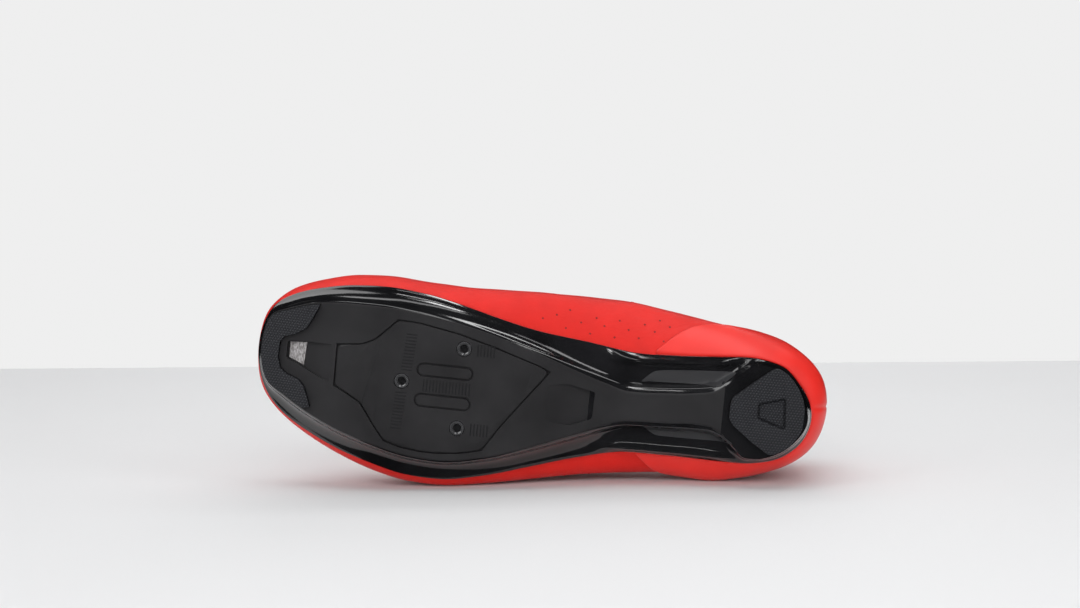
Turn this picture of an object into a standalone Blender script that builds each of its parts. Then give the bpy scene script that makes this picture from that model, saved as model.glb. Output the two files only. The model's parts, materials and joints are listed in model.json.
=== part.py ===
"""A right-foot road cycling shoe, lying on its outer side with its sole upright.

Everything is modelled standing: x runs forward from the back of the heel, y towards the
inner side of the foot, z up from the ground that the heel pad and the ball would stand on.
An empty then lays the whole shoe down on the three places where its side touches a floor.
"""

import math

import bmesh
import bpy
import numpy as np
from mathutils import Matrix, Vector

# Driving dimensions, in metres
SHOE_LENGTH = 0.285
BALL_WIDTH = 0.0995
HEEL_WIDTH = 0.0735
INSTEP_HEIGHT = 0.093
ARCH_RISE = 0.010
TOE_SPRING = 0.016
SOLE_DEPTH = 0.0125
SIDE_RISE = 0.015
UPPER_WALL = 0.0020
UPPER_SETBACK = 0.0008
LASTING_MARGIN = 0.010
BOWL_SLOPE = 0.007
RIM_LIP = 0.0018
CLEARANCE = 0.0003
COUNTER_WALL = 0.0009
COUNTER_GAP = 0.0004
INSOLE_THICKNESS = 0.003
INSOLE_INSET = 0.0066
TONGUE_THICKNESS = 0.003
STRAP_THICKNESS = 0.0022
STRAP_WIDTH = 0.019
STRAP_GAP = 0.0005
CLEAT_PLATE_THICKNESS = 0.0018
SLOT_LENGTH = 0.028
SLOT_WIDTH = 0.007
SLOT_DEPTH = 0.0008
BOLT_SPREAD = 0.039
BOLT_REACH = 0.029
NUT_RADIUS = 0.0036
NUT_BORE_RADIUS = 0.0021
NUT_HEIGHT = 0.0040
NUT_CHAMFER = 0.0005
HEEL_PAD_GROUND = 0.0
HEEL_PAD_SUNK = 0.0012
TOE_PAD_PROUD = 0.0022
TOE_PAD_SUNK = 0.0010
TOE_PAD_JOIN = 0.0020
PAD_CHAMFER = 0.0009
HEEL_HOLE_DEPTH = 0.0030
VENT_DEPTH = 0.0026
VENT_MESH_THICKNESS = 0.0010
VENT_RAMP_LIP = 0.0002
BEYOND = 0.004

# Where each ring of the shoe begins and ends, as shares of SHOE_LENGTH, with its middle there
RING_ENDS = {
    "upper": {"back": 0.004, "front": 1.000, "back_y": -0.012, "front_y": 0.016},
    "rim": {"back": 0.028, "front": 0.9945, "back_y": -0.050, "front_y": 0.028},
    "plate": {"back": 0.036, "front": 0.9860, "back_y": -0.045, "front_y": 0.035},
}

# Shares along a ring at which it has a point, close together where it turns
STATIONS = [
    0.0, 0.004, 0.016, 0.035, 0.060, 0.085, 0.105, 0.125, 0.145, 0.165, 0.190, 0.220, 0.255,
    0.290, 0.325, 0.360, 0.395, 0.430, 0.465, 0.500, 0.540, 0.580, 0.615, 0.650, 0.685, 0.720,
    0.750, 0.780, 0.810, 0.840, 0.870, 0.895, 0.920, 0.942, 0.961, 0.977, 0.990, 0.9975, 1.0,
]

# Half widths, as shares of the local width between HEEL_WIDTH and BALL_WIDTH
UPPER_OUTLINE = [
    {"along": 0.02, "inner": 0.215, "outer": 0.250},
    {"along": 0.05, "inner": 0.320, "outer": 0.370},
    {"along": 0.09, "inner": 0.398, "outer": 0.452},
    {"along": 0.14, "inner": 0.446, "outer": 0.516},
    {"along": 0.20, "inner": 0.486, "outer": 0.560},
    {"along": 0.27, "inner": 0.515, "outer": 0.548},
    {"along": 0.34, "inner": 0.528, "outer": 0.553},
    {"along": 0.42, "inner": 0.500, "outer": 0.551},
    {"along": 0.50, "inner": 0.473, "outer": 0.557},
    {"along": 0.58, "inner": 0.444, "outer": 0.566},
    {"along": 0.65, "inner": 0.428, "outer": 0.574},
    {"along": 0.71, "inner": 0.432, "outer": 0.567},
    {"along": 0.77, "inner": 0.444, "outer": 0.535},
    {"along": 0.83, "inner": 0.433, "outer": 0.482},
    {"along": 0.89, "inner": 0.393, "outer": 0.408},
    {"along": 0.94, "inner": 0.337, "outer": 0.324},
    {"along": 0.97, "inner": 0.272, "outer": 0.249},
    {"along": 0.99, "inner": 0.192, "outer": 0.161},
]
RIM_OUTLINE = [
    {"along": 0.05, "inner": 0.150, "outer": 0.262},
    {"along": 0.09, "inner": 0.280, "outer": 0.363},
    {"along": 0.14, "inner": 0.310, "outer": 0.398},
    {"along": 0.20, "inner": 0.289, "outer": 0.403},
    {"along": 0.27, "inner": 0.260, "outer": 0.399},
    {"along": 0.34, "inner": 0.241, "outer": 0.388},
    {"along": 0.42, "inner": 0.261, "outer": 0.419},
    {"along": 0.50, "inner": 0.276, "outer": 0.463},
    {"along": 0.58, "inner": 0.314, "outer": 0.505},
    {"along": 0.65, "inner": 0.357, "outer": 0.526},
    {"along": 0.71, "inner": 0.387, "outer": 0.518},
    {"along": 0.77, "inner": 0.401, "outer": 0.483},
    {"along": 0.83, "inner": 0.390, "outer": 0.436},
    {"along": 0.89, "inner": 0.357, "outer": 0.367},
    {"along": 0.94, "inner": 0.308, "outer": 0.288},
    {"along": 0.97, "inner": 0.248, "outer": 0.203},
]
PLATE_OUTLINE = [
    {"along": 0.050, "inner": 0.100, "outer": 0.180},
    {"along": 0.070, "inner": 0.204, "outer": 0.261},
    {"along": 0.090, "inner": 0.258, "outer": 0.307},
    {"along": 0.115, "inner": 0.286, "outer": 0.337},
    {"along": 0.135, "inner": 0.279, "outer": 0.340},
    {"along": 0.155, "inner": 0.211, "outer": 0.279},
    {"along": 0.175, "inner": 0.140, "outer": 0.207},
    {"along": 0.200, "inner": 0.068, "outer": 0.152},
    {"along": 0.230, "inner": 0.041, "outer": 0.148},
    {"along": 0.270, "inner": 0.021, "outer": 0.160},
    {"along": 0.340, "inner": 0.004, "outer": 0.167},
    {"along": 0.385, "inner": 0.046, "outer": 0.206},
    {"along": 0.420, "inner": 0.083, "outer": 0.250},
    {"along": 0.500, "inner": 0.171, "outer": 0.330},
    {"along": 0.580, "inner": 0.235, "outer": 0.390},
    {"along": 0.650, "inner": 0.272, "outer": 0.413},
    {"along": 0.710, "inner": 0.295, "outer": 0.402},
    {"along": 0.770, "inner": 0.308, "outer": 0.367},
    {"along": 0.830, "inner": 0.305, "outer": 0.321},
    {"along": 0.890, "inner": 0.289, "outer": 0.254},
    {"along": 0.940, "inner": 0.245, "outer": 0.180},
    {"along": 0.970, "inner": 0.207, "outer": 0.129},
]

# Heights along the shoe: shares of ARCH_RISE, TOE_SPRING, SOLE_DEPTH and SIDE_RISE, and
# the height of the bed inside the sole as a share of the rim's height over the plate
SIDE_PROFILE = [
    {"along": 0.00, "arch": 0.45, "spring": 0.00, "depth": 1.00, "side": 1.00, "bed": 0.45},
    {"along": 0.14, "arch": 0.45, "spring": 0.00, "depth": 1.04, "side": 1.00, "bed": 0.60},
    {"along": 0.20, "arch": 0.68, "spring": 0.00, "depth": 0.98, "side": 1.00, "bed": 0.78},
    {"along": 0.27, "arch": 0.93, "spring": 0.00, "depth": 0.94, "side": 0.98, "bed": 0.78},
    {"along": 0.34, "arch": 0.98, "spring": 0.00, "depth": 0.98, "side": 0.94, "bed": 0.78},
    {"along": 0.42, "arch": 0.70, "spring": 0.00, "depth": 1.08, "side": 0.88, "bed": 0.62},
    {"along": 0.50, "arch": 0.26, "spring": 0.00, "depth": 1.13, "side": 0.80, "bed": 0.42},
    {"along": 0.58, "arch": 0.00, "spring": 0.00, "depth": 1.04, "side": 0.72, "bed": 0.40},
    {"along": 0.65, "arch": 0.00, "spring": 0.00, "depth": 0.90, "side": 0.64, "bed": 0.43},
    {"along": 0.75, "arch": 0.00, "spring": 0.00, "depth": 0.88, "side": 0.62, "bed": 0.43},
    {"along": 0.79, "arch": 0.00, "spring": 0.07, "depth": 0.88, "side": 0.62, "bed": 0.45},
    {"along": 0.83, "arch": 0.00, "spring": 0.21, "depth": 0.84, "side": 0.62, "bed": 0.50},
    {"along": 0.89, "arch": 0.00, "spring": 0.45, "depth": 0.78, "side": 0.60, "bed": 0.56},
    {"along": 0.94, "arch": 0.00, "spring": 0.71, "depth": 0.66, "side": 0.58, "bed": 0.62},
    {"along": 0.97, "arch": 0.00, "spring": 0.85, "depth": 0.58, "side": 0.58, "bed": 0.70},
    {"along": 1.00, "arch": 0.00, "spring": 1.00, "depth": 0.48, "side": 0.58, "bed": 0.80},
]

# The edge of collar and throat: shares of SHOE_LENGTH, of the local width and of INSTEP_HEIGHT
TOP_LINE = [
    {"along": 0.00, "reach": 0.035, "inner": -0.015, "outer": 0.015, "height": 1.02},
    {"along": 0.05, "reach": 0.057, "inner": 0.160, "outer": 0.195, "height": 0.99},
    {"along": 0.12, "reach": 0.120, "inner": 0.295, "outer": 0.350, "height": 0.86},
    {"along": 0.20, "reach": 0.205, "inner": 0.345, "outer": 0.410, "height": 0.76},
    {"along": 0.28, "reach": 0.285, "inner": 0.335, "outer": 0.400, "height": 0.78},
    {"along": 0.36, "reach": 0.355, "inner": 0.285, "outer": 0.325, "height": 0.91},
    {"along": 0.43, "reach": 0.415, "inner": 0.215, "outer": 0.240, "height": 1.00},
    {"along": 0.55, "reach": 0.500, "inner": 0.170, "outer": 0.195, "height": 0.91},
    {"along": 0.68, "reach": 0.585, "inner": 0.145, "outer": 0.170, "height": 0.80},
    {"along": 0.82, "reach": 0.665, "inner": 0.115, "outer": 0.138, "height": 0.72},
    {"along": 0.93, "reach": 0.706, "inner": 0.062, "outer": 0.085, "height": 0.685},
    {"along": 1.00, "reach": 0.722, "inner": -0.010, "outer": 0.010, "height": 0.672},
]
SHOULDER_SLOPE = 0.32
SIDE_UPRIGHT = 0.68
SHOULDER_REACH = 0.52
SHOULDER_DEEPEST = 0.5
WIDEST_AT = 0.36
SIDE_LEVELS = [0.05, 0.11, 0.18, 0.27, WIDEST_AT, 0.45, 0.55, 0.66, 0.77, 0.88, 1.0]
COUNTER_TOP = 0.88
BULGE_ROUND = 0.55
SPINE_ENDS = (0.14, 0.86)
CORE_ENDS = (0.20, 0.80)
CORE_HEIGHT = 0.48
SKIN_STEP = 0.004
SHARE_HALVINGS = 24

# The side of the sole between the plate's edge (across 0) and the rim (across 1),
# with drop 0 at the plate and 1 at the top of the rim
SOLE_FLANK = [
    {"across": 0.12, "drop": 0.10, "waist_across": 0.17, "waist_drop": 0.14},
    {"across": 0.30, "drop": 0.42, "waist_across": 0.29, "waist_drop": 0.60},
    {"across": 0.52, "drop": 0.64, "waist_across": 0.65, "waist_drop": 0.60},
    {"across": 0.74, "drop": 0.76, "waist_across": 0.85, "waist_drop": 0.34},
    {"across": 0.92, "drop": 0.82, "waist_across": 0.94, "waist_drop": 0.58},
]
WAIST_RECESS = {"begin": 0.145, "full_from": 0.200, "full_to": 0.330, "end": 0.405}

# Outlines on the plate, as shares of SHOE_LENGTH along and of BALL_WIDTH across
CLEAT_PLATE_OUTLINE = [
    (0.848, 0.102), (0.804, 0.118), (0.782, 0.148), (0.763, 0.201), (0.745, 0.256),
    (0.709, 0.252), (0.639, 0.218), (0.569, 0.164), (0.499, 0.099), (0.479, 0.073),
    (0.496, 0.007), (0.526, -0.105), (0.556, -0.223), (0.583, -0.343), (0.620, -0.368),
    (0.654, -0.379), (0.689, -0.380), (0.724, -0.368), (0.752, -0.345), (0.770, -0.283),
    (0.790, -0.206), (0.800, -0.170), (0.828, -0.130), (0.848, -0.104),
]
HEEL_PAD_OUTLINE = [
    (0.169, 0.010), (0.166, 0.042), (0.137, 0.117), (0.103, 0.198), (0.093, 0.203),
    (0.084, 0.191), (0.075, 0.174), (0.066, 0.148), (0.056, 0.112), (0.049, 0.074),
    (0.044, 0.022), (0.044, -0.028), (0.045, -0.077), (0.052, -0.123), (0.062, -0.160),
    (0.073, -0.188), (0.086, -0.212), (0.098, -0.215), (0.130, -0.157), (0.162, -0.088),
    (0.169, -0.058),
]
HEEL_HOLE_OUTLINE = [
    (0.120, 0.023), (0.087, 0.058), (0.080, 0.050), (0.078, -0.066), (0.084, -0.078),
    (0.118, -0.039),
]
TOE_PAD_INNER_EDGE = [
    (0.884, 0.285), (0.887, 0.262), (0.897, 0.200), (0.905, 0.160), (0.924, 0.126),
    (0.944, 0.105), (0.951, 0.080), (0.953, 0.002), (0.947, -0.055), (0.934, -0.080),
    (0.913, -0.098), (0.902, -0.125), (0.895, -0.170), (0.888, -0.225),
]
VENT_CHANNEL_OUTLINE = [
    (0.856, 0.095), (0.905, 0.095), (0.938, 0.084), (0.939, -0.004), (0.920, -0.022),
    (0.905, -0.038), (0.870, -0.080), (0.856, -0.084),
]
VENT_WINDOW_OUTLINE = [
    (0.936, 0.080), (0.903, 0.090), (0.906, -0.032), (0.920, -0.018), (0.936, -0.001),
]
FRONT_BOLT = (0.730, -0.042)
BOLT_MIDDLE = -0.050
SLOT_MIDDLES = [(0.657, 0.026), (0.657, -0.124)]
SLOT_STEPS = 12
NUT_SIDES = 24

# Fraction up the side where the heel cup's front edge is, for each side of the foot
COUNTER_FRONT = [
    {"up": 0.03, "inner": 0.287, "outer": 0.305},
    {"up": 0.20, "inner": 0.240, "outer": 0.280},
    {"up": 0.36, "inner": 0.172, "outer": 0.238},
    {"up": 0.55, "inner": 0.120, "outer": 0.170},
    {"up": 0.75, "inner": 0.085, "outer": 0.100},
    {"up": 0.86, "inner": 0.055, "outer": 0.060},
]

# Each strap's middle as a share of SHOE_LENGTH at the throat and down at its two ends,
# and how far up the side, from rim to top line, those ends are
STRAPS = {
    "strap_front": {"throat": 0.642, "side": 0.668, "outer_end": 0.52, "inner_end": 0.62},
    "strap_middle": {"throat": 0.555, "side": 0.572, "outer_end": 0.50, "inner_end": 0.58},
    "strap_top": {"throat": 0.462, "side": 0.452, "outer_end": 0.46, "inner_end": 0.56},
}
STRAP_CROWN = 0.0042
STRAP_RIBS = 5
STRAP_STEPS = 7
COUNTER_COLUMNS = 20
TONGUE_SINK = 0.0034
TONGUE_ROUND = 10.5
TONGUE_MIDDLE = -0.012
TONGUE_COLUMNS = 9
TONGUE_ROWS = [
    {"along": 0.752, "half": 0.115},
    {"along": 0.725, "half": 0.140},
    {"along": 0.690, "half": 0.160},
    {"along": 0.640, "half": 0.180},
    {"along": 0.585, "half": 0.195},
    {"along": 0.530, "half": 0.210},
    {"along": 0.475, "half": 0.218},
    {"along": 0.435, "half": 0.192},
    {"along": 0.395, "half": 0.172},
    {"along": 0.355, "half": 0.165},
    {"along": 0.325, "half": 0.150},
    {"along": 0.310, "half": 0.110},
]

# A face of the shoe's hull that it can lie on looks at least this far towards its outer side
SIDE_FACING = -0.7

FINISHES = {
    "sole_composite": {"colour": (0.018, 0.018, 0.020), "rough": 0.28, "density": 1100},
    "plate_plastic": {"colour": (0.032, 0.032, 0.035), "rough": 0.62, "density": 1100},
    "nut_metal": {"colour": (0.012, 0.012, 0.012), "rough": 0.25, "density": 2700},
    "pad_rubber": {"colour": (0.030, 0.031, 0.034), "rough": 0.85, "density": 1200},
    "vent_fabric": {"colour": (0.42, 0.42, 0.42), "rough": 0.90, "density": 300},
    "red_microfibre": {"colour": (0.80, 0.030, 0.020), "rough": 0.55, "density": 900},
    "red_cup": {"colour": (0.85, 0.035, 0.024), "rough": 0.42, "density": 900},
    "tongue_microfibre": {"colour": (0.55, 0.020, 0.014), "rough": 0.75, "density": 900},
    "insole_fabric": {"colour": (0.030, 0.030, 0.032), "rough": 0.95, "density": 300},
    "strap_microfibre": {"colour": (0.70, 0.026, 0.018), "rough": 0.60, "density": 900},
}


def clear_scene():
    for old in list(bpy.data.objects):
        bpy.data.objects.remove(old, do_unlink=True)


def new_collection(name):
    made = bpy.data.collections.new(name)
    bpy.context.scene.collection.children.link(made)
    return made


def principled(name):
    finish = FINISHES[name]
    made = bpy.data.materials.new(name)
    made.use_nodes = True
    shader = made.node_tree.nodes["Principled BSDF"]
    shader.inputs["Base Color"].default_value = (*finish["colour"], 1.0)
    shader.inputs["Roughness"].default_value = finish["rough"]
    shader.inputs["Metallic"].default_value = 1.0 if name == "nut_metal" else 0.0
    return made


def smooth_curve(places, values):
    """A curve through the values that never overshoots them between two places."""
    places = np.asarray(places, float)
    values = np.asarray(values, float)
    step = np.diff(places)
    slope = np.diff(values) / step
    tangent = np.zeros(len(places))
    tangent[0] = slope[0]
    tangent[-1] = slope[-1]
    for i in range(1, len(places) - 1):
        before, after = slope[i - 1], slope[i]
        if before * after > 0:
            first = 2 * step[i] + step[i - 1]
            second = step[i] + 2 * step[i - 1]
            tangent[i] = (first + second) / (first / before + second / after)

    def read(place):
        i = int(np.clip(np.searchsorted(places, place) - 1, 0, len(step) - 1))
        t = (np.clip(place, places[0], places[-1]) - places[i]) / step[i]
        rise = (1 + 2 * t) * (1 - t) ** 2 * values[i] + t * t * (3 - 2 * t) * values[i + 1]
        bend = t * (1 - t) ** 2 * tangent[i] - t * t * (1 - t) * tangent[i + 1]
        return float(rise + step[i] * bend)

    return read


def column(rows, name):
    return smooth_curve([row["along"] for row in rows], [row[name] for row in rows])


def smoothstep(low, high, value):
    t = min(max((value - low) / (high - low), 0.0), 1.0)
    return t * t * (3 - 2 * t)


def local_width(along):
    return HEEL_WIDTH + (BALL_WIDTH - HEEL_WIDTH) * smoothstep(0.20, 0.70, along)


PROFILE = {
    name: column(SIDE_PROFILE, name) for name in ("arch", "spring", "depth", "side", "bed")
}


def plate_height(x):
    along = x / SHOE_LENGTH
    return ARCH_RISE * PROFILE["arch"](along) + TOE_SPRING * PROFILE["spring"](along)


def rim_height(x):
    return plate_height(x) + SOLE_DEPTH * PROFILE["depth"](x / SHOE_LENGTH)


def bed_height(x):
    """The flat inside of the sole, lower than its rim."""
    rise = SOLE_DEPTH * PROFILE["depth"](x / SHOE_LENGTH)
    return plate_height(x) + rise * PROFILE["bed"](x / SHOE_LENGTH)


def bowl_height(x, inside):
    """The sole's inner face at a distance inside its rim."""
    share = min(max(inside / BOWL_SLOPE, 0.0), 1.0)
    return rim_height(x) + (bed_height(x) - rim_height(x)) * share


def side_height(x):
    return rim_height(x) + SIDE_RISE * PROFILE["side"](x / SHOE_LENGTH)


def turn_angle(share):
    """Even steps of this angle crowd together at both round ends of a ring."""
    return math.acos(1 - 2 * min(max(share, 0.0), 1.0))


def ring_curves(rows, ends):
    """For each side of the foot, the half width share as a curve of the angle round the ring."""
    span = ends["front"] - ends["back"]
    angles = [turn_angle((row["along"] - ends["back"]) / span) for row in rows]
    curves = {}
    for side, sign in (("inner", 1), ("outer", -1)):
        values = [sign * ends["back_y"]] + [row[side] for row in rows] + [sign * ends["front_y"]]
        curves[side] = smooth_curve([0.0] + angles + [math.pi], values)
    return curves


RINGS = {
    "upper": ring_curves(UPPER_OUTLINE, RING_ENDS["upper"]),
    "rim": ring_curves(RIM_OUTLINE, RING_ENDS["rim"]),
    "plate": ring_curves(PLATE_OUTLINE, RING_ENDS["plate"]),
}


def ring_point(name, share, side):
    """The point (x, y) of a ring at a share of its length, on the inner or outer side."""
    ends = RING_ENDS[name]
    along = ends["back"] + (ends["front"] - ends["back"]) * share
    half = RINGS[name][side](turn_angle(share)) * local_width(along)
    return Vector((along * SHOE_LENGTH, half if side == "inner" else -half))


def round_the_foot(point_at):
    """A closed ring of points: forward along the inner side, back along the outer side."""
    inner = [point_at(share, "inner") for share in STATIONS]
    outer = [point_at(share, "outer") for share in reversed(STATIONS[1:-1])]
    return inner + outer


def grown(outline, distance):
    """The outline moved outwards by a distance, or inwards by a negative one."""
    count = len(outline)
    area = sum(
        outline[i][0] * outline[(i + 1) % count][1] - outline[(i + 1) % count][0] * outline[i][1]
        for i in range(count)
    )
    turn = 1 if area > 0 else -1
    moved = []
    for i in range(count):
        here = Vector(outline[i][:2])
        before = (here - Vector(outline[i - 1][:2])).normalized()
        after = (Vector(outline[(i + 1) % count][:2]) - here).normalized()
        normal = Vector((before.y + after.y, -before.x - after.x)).normalized() * turn
        corner = max(math.sqrt(max((1 + before.dot(after)) / 2, 0.0)), 0.5)
        moved.append(here + normal * (distance / corner))
    return moved


def on_plate(shares):
    return [Vector((along * SHOE_LENGTH, across * BALL_WIDTH)) for along, across in shares]


PLATE_RUNGS = [ring_point("plate", share, "inner").x for share in STATIONS]
RIM_RUNGS = [ring_point("rim", share, "inner").x for share in STATIONS]


def straight_between(rungs, height):
    """A height that is straight from rung to rung, as the faces between them are."""
    heights = [height(x) for x in rungs]
    return lambda x: float(np.interp(x, rungs, heights))


PLATE_FACE = straight_between(PLATE_RUNGS, plate_height)
BED_FACE = straight_between(RIM_RUNGS, bed_height)


def add_object(name, mesh, collection, material=None):
    made = bpy.data.objects.new(name, mesh)
    collection.objects.link(made)
    if material:
        mesh.materials.append(material)
    return made


def finish_mesh(name, shape):
    bmesh.ops.recalc_face_normals(shape, faces=shape.faces)
    mesh = bpy.data.meshes.new(name)
    shape.to_mesh(mesh)
    shape.free()
    return mesh


def rings_mesh(name, rings, close_ends):
    """Faces between neighbouring rings, and rungs across the first and last when closed."""
    shape = bmesh.new()
    made = [[shape.verts.new(point) for point in ring] for ring in rings]
    count = len(made[0])
    for lower, upper in zip(made, made[1:]):
        for i in range(count):
            j = (i + 1) % count
            shape.faces.new((lower[i], lower[j], upper[j], upper[i]))
    if close_ends:
        last = len(STATIONS) - 1
        for ring in (made[0], made[-1]):
            for i in range(last):
                corners = [ring[i], ring[i + 1], ring[-i - 1], ring[-i % count]]
                shape.faces.new(list(dict.fromkeys(corners)))
    return finish_mesh(name, shape)


def slab_mesh(name, outline, low, high, rungs, chamfer=0.0):
    """A plate of the outline between two heights, creased at the rungs as the sole is."""
    shape = bmesh.new()
    shape.faces.new([shape.verts.new((p[0], p[1], 0.0)) for p in outline])
    shape.normal_update()
    bmesh.ops.triangulate(shape, faces=shape.faces[:], ngon_method="EAR_CLIP")
    reach = [p[0] for p in outline]
    for x in rungs:
        if min(reach) < x < max(reach):
            whole = shape.verts[:] + shape.edges[:] + shape.faces[:]
            bmesh.ops.bisect_plane(shape, geom=whole, dist=1e-6, plane_co=(x, 0, 0), plane_no=(1, 0, 0))
    bmesh.ops.dissolve_degenerate(shape, dist=1e-6, edges=shape.edges[:])
    edge = set()
    if chamfer:
        bmesh.ops.inset_region(shape, faces=shape.faces[:], thickness=chamfer, use_even_offset=True)
        edge = {vert for vert in shape.verts if vert.is_boundary}
    floor = list(shape.verts)
    raised = bmesh.ops.extrude_face_region(shape, geom=shape.faces[:])["geom"]
    raised = [item for item in raised if isinstance(item, bmesh.types.BMVert)]
    for vert in raised:
        vert.co.z = high(vert.co.x)
    for vert in floor:
        vert.co.z = low(vert.co.x) + (chamfer if vert in edge else 0.0)
    return finish_mesh(name, shape)


def cut(target, cutter, name):
    step = target.modifiers.new(name, "BOOLEAN")
    step.operation = "DIFFERENCE"
    step.solver = "EXACT"
    step.object = cutter


def hide_tool(tool):
    tool.hide_render = True
    tool.display_type = "WIRE"
    return tool


def spine_under(point, ends):
    """The nearest point of the line along the middle of the foot, between two shares of its length."""
    return Vector((min(max(point.x, ends[0] * SHOE_LENGTH), ends[1] * SHOE_LENGTH), 0.0))


def upper_base(share, side):
    """Where the upper leaves the sole's rim."""
    point = ring_point("rim", share, side)
    point = point - (point - spine_under(point, SPINE_ENDS)).normalized() * UPPER_SETBACK
    return Vector((point.x, point.y, rim_height(point.x) + CLEARANCE))


def upper_widest(share, side):
    point = ring_point("upper", share, side)
    return Vector((point.x, point.y, side_height(point.x)))


TOP_CURVES = {name: column(TOP_LINE, name) for name in ("reach", "inner", "outer", "height")}


def top_line(share, side):
    reach = TOP_CURVES["reach"](share)
    half = TOP_CURVES[side](share) * local_width(reach)
    height = TOP_CURVES["height"](share) * INSTEP_HEIGHT
    return Vector((reach * SHOE_LENGTH, half if side == "inner" else -half, height))


def upper_skin(share, side, up):
    """The outer face of the upper: share runs heel to toe, up runs from the rim to the top line."""
    base = upper_base(share, side)
    widest = upper_widest(share, side)
    if up <= WIDEST_AT:
        turn = up / WIDEST_AT * math.pi / 2
        out = math.sin(turn)
        rise = BULGE_ROUND * (1 - math.cos(turn)) + (1 - BULGE_ROUND) * up / WIDEST_AT
        across = base.lerp(widest, out)
        return Vector((across.x, across.y, base.z + (widest.z - base.z) * rise))
    top = top_line(share, side)
    t = (up - WIDEST_AT) / (1 - WIDEST_AT)
    inward = Vector((widest.x - top.x, widest.y - top.y, 0.0))
    upright = widest + Vector((0.0, 0.0, SIDE_UPRIGHT * (top.z - widest.z)))
    shoulder = top + inward * SHOULDER_REACH
    fall = SHOULDER_SLOPE * inward.length * SHOULDER_REACH
    shoulder.z -= min(fall, SHOULDER_DEEPEST * (top.z - widest.z))
    return (
        widest * (1 - t) ** 3
        + upright * 3 * t * (1 - t) ** 2
        + shoulder * 3 * t * t * (1 - t)
        + top * t**3
    )


def skin_normal(share, side, up):
    ahead = upper_skin(min(share + SKIN_STEP, 1.0), side, up)
    behind = upper_skin(max(share - SKIN_STEP, 0.0), side, up)
    above = upper_skin(share, side, min(up + SKIN_STEP, 1.0))
    below = upper_skin(share, side, max(up - SKIN_STEP, 0.0))
    normal = (ahead - behind).cross(above - below).normalized()
    return -normal if side == "inner" else normal


def off_skin(share, side, up, distance):
    return upper_skin(share, side, up) + skin_normal(share, side, up) * distance


def share_at(x, side, up):
    """The share round the foot at which the upper's skin reaches a given x."""
    low, high = 0.0, 1.0
    for _ in range(SHARE_HALVINGS):
        middle = (low + high) / 2
        if upper_skin(middle, side, up).x < x:
            low = middle
        else:
            high = middle
    return (low + high) / 2


def build_outsole(collection, material):
    plate = round_the_foot(lambda share, side: ring_point("plate", share, side))
    rim = round_the_foot(lambda share, side: ring_point("rim", share, side))
    rings = [[Vector((p.x, p.y, plate_height(p.x))) for p in plate]]
    for knot in SOLE_FLANK:
        ring = []
        for inner, outer in zip(plate, rim):
            along = inner.x / SHOE_LENGTH
            opening = smoothstep(WAIST_RECESS["begin"], WAIST_RECESS["full_from"], along)
            closing = smoothstep(WAIST_RECESS["full_to"], WAIST_RECESS["end"], along)
            waist = opening * (1 - closing)
            across = knot["across"] + (knot["waist_across"] - knot["across"]) * waist
            drop = knot["drop"] + (knot["waist_drop"] - knot["drop"]) * waist
            point = inner.lerp(outer, across)
            depth = rim_height(point.x) - plate_height(point.x)
            ring.append(Vector((point.x, point.y, plate_height(point.x) + drop * depth)))
        rings.append(ring)
    rings.append([Vector((p.x, p.y, rim_height(p.x) - RIM_LIP)) for p in rim])
    rings.append([Vector((p.x, p.y, rim_height(p.x))) for p in rim])
    rings.append([Vector((p.x, p.y, bed_height(p.x))) for p in grown(rim, -BOWL_SLOPE)])
    return add_object("outsole", rings_mesh("outsole", rings, True), collection, material)


def build_plate_parts(parts, tools, finishes, outsole):
    """The inlaid cleat plate with its slots and threaded nuts, each in its own pocket."""
    outline = on_plate(CLEAT_PLATE_OUTLINE)
    floor = lambda x: PLATE_FACE(x) + CLEAT_PLATE_THICKNESS
    mesh = slab_mesh("cleat_plate", outline, PLATE_FACE, floor, PLATE_RUNGS)
    plate = add_object("cleat_plate", mesh, parts, finishes["plate_plastic"])
    pocket = slab_mesh(
        "plate_pocket",
        grown(outline, CLEARANCE),
        lambda x: PLATE_FACE(x) - BEYOND,
        lambda x: floor(x) + CLEARANCE,
        PLATE_RUNGS,
    )
    cut(outsole, hide_tool(add_object("plate_pocket", pocket, tools)), "plate pocket")

    for number, (along, across) in enumerate(SLOT_MIDDLES):
        half = (SLOT_LENGTH - SLOT_WIDTH) / 2
        rounds = [
            Vector((
                along * SHOE_LENGTH + (half if math.cos(turn) >= 0 else -half)
                + SLOT_WIDTH / 2 * math.cos(turn),
                across * BALL_WIDTH + SLOT_WIDTH / 2 * math.sin(turn),
            ))
            for turn in (math.tau * (step + 0.5) / SLOT_STEPS for step in range(SLOT_STEPS))
        ]
        name = f"slot_{number}"
        tool = slab_mesh(name, rounds, lambda x: -BEYOND, lambda x: SLOT_DEPTH, [])
        cut(plate, hide_tool(add_object(name, tool, tools)), name)

    front = on_plate([FRONT_BOLT])[0]
    middle = BOLT_MIDDLE * BALL_WIDTH
    places = {
        "cleat_nut_front": front,
        "cleat_nut_medial": Vector((front.x - BOLT_REACH, middle + BOLT_SPREAD / 2)),
        "cleat_nut_lateral": Vector((front.x - BOLT_REACH, middle - BOLT_SPREAD / 2)),
    }
    for name, place in places.items():
        nut = turned_nut(name, parts, finishes["nut_metal"])
        nut.location = (place.x, place.y, 0.0)
        bpy.ops.mesh.primitive_cylinder_add(
            vertices=NUT_SIDES,
            radius=NUT_RADIUS + CLEARANCE,
            depth=2 * (BEYOND + NUT_HEIGHT),
            location=(place.x, place.y, 0.0),
        )
        bore = hide_tool(bpy.context.object)
        bore.name = f"{name}_bore"
        for home in list(bore.users_collection):
            home.objects.unlink(bore)
        tools.objects.link(bore)
        cut(plate, bore, f"{name} bore")
        cut(outsole, bore, f"{name} bore")


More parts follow.
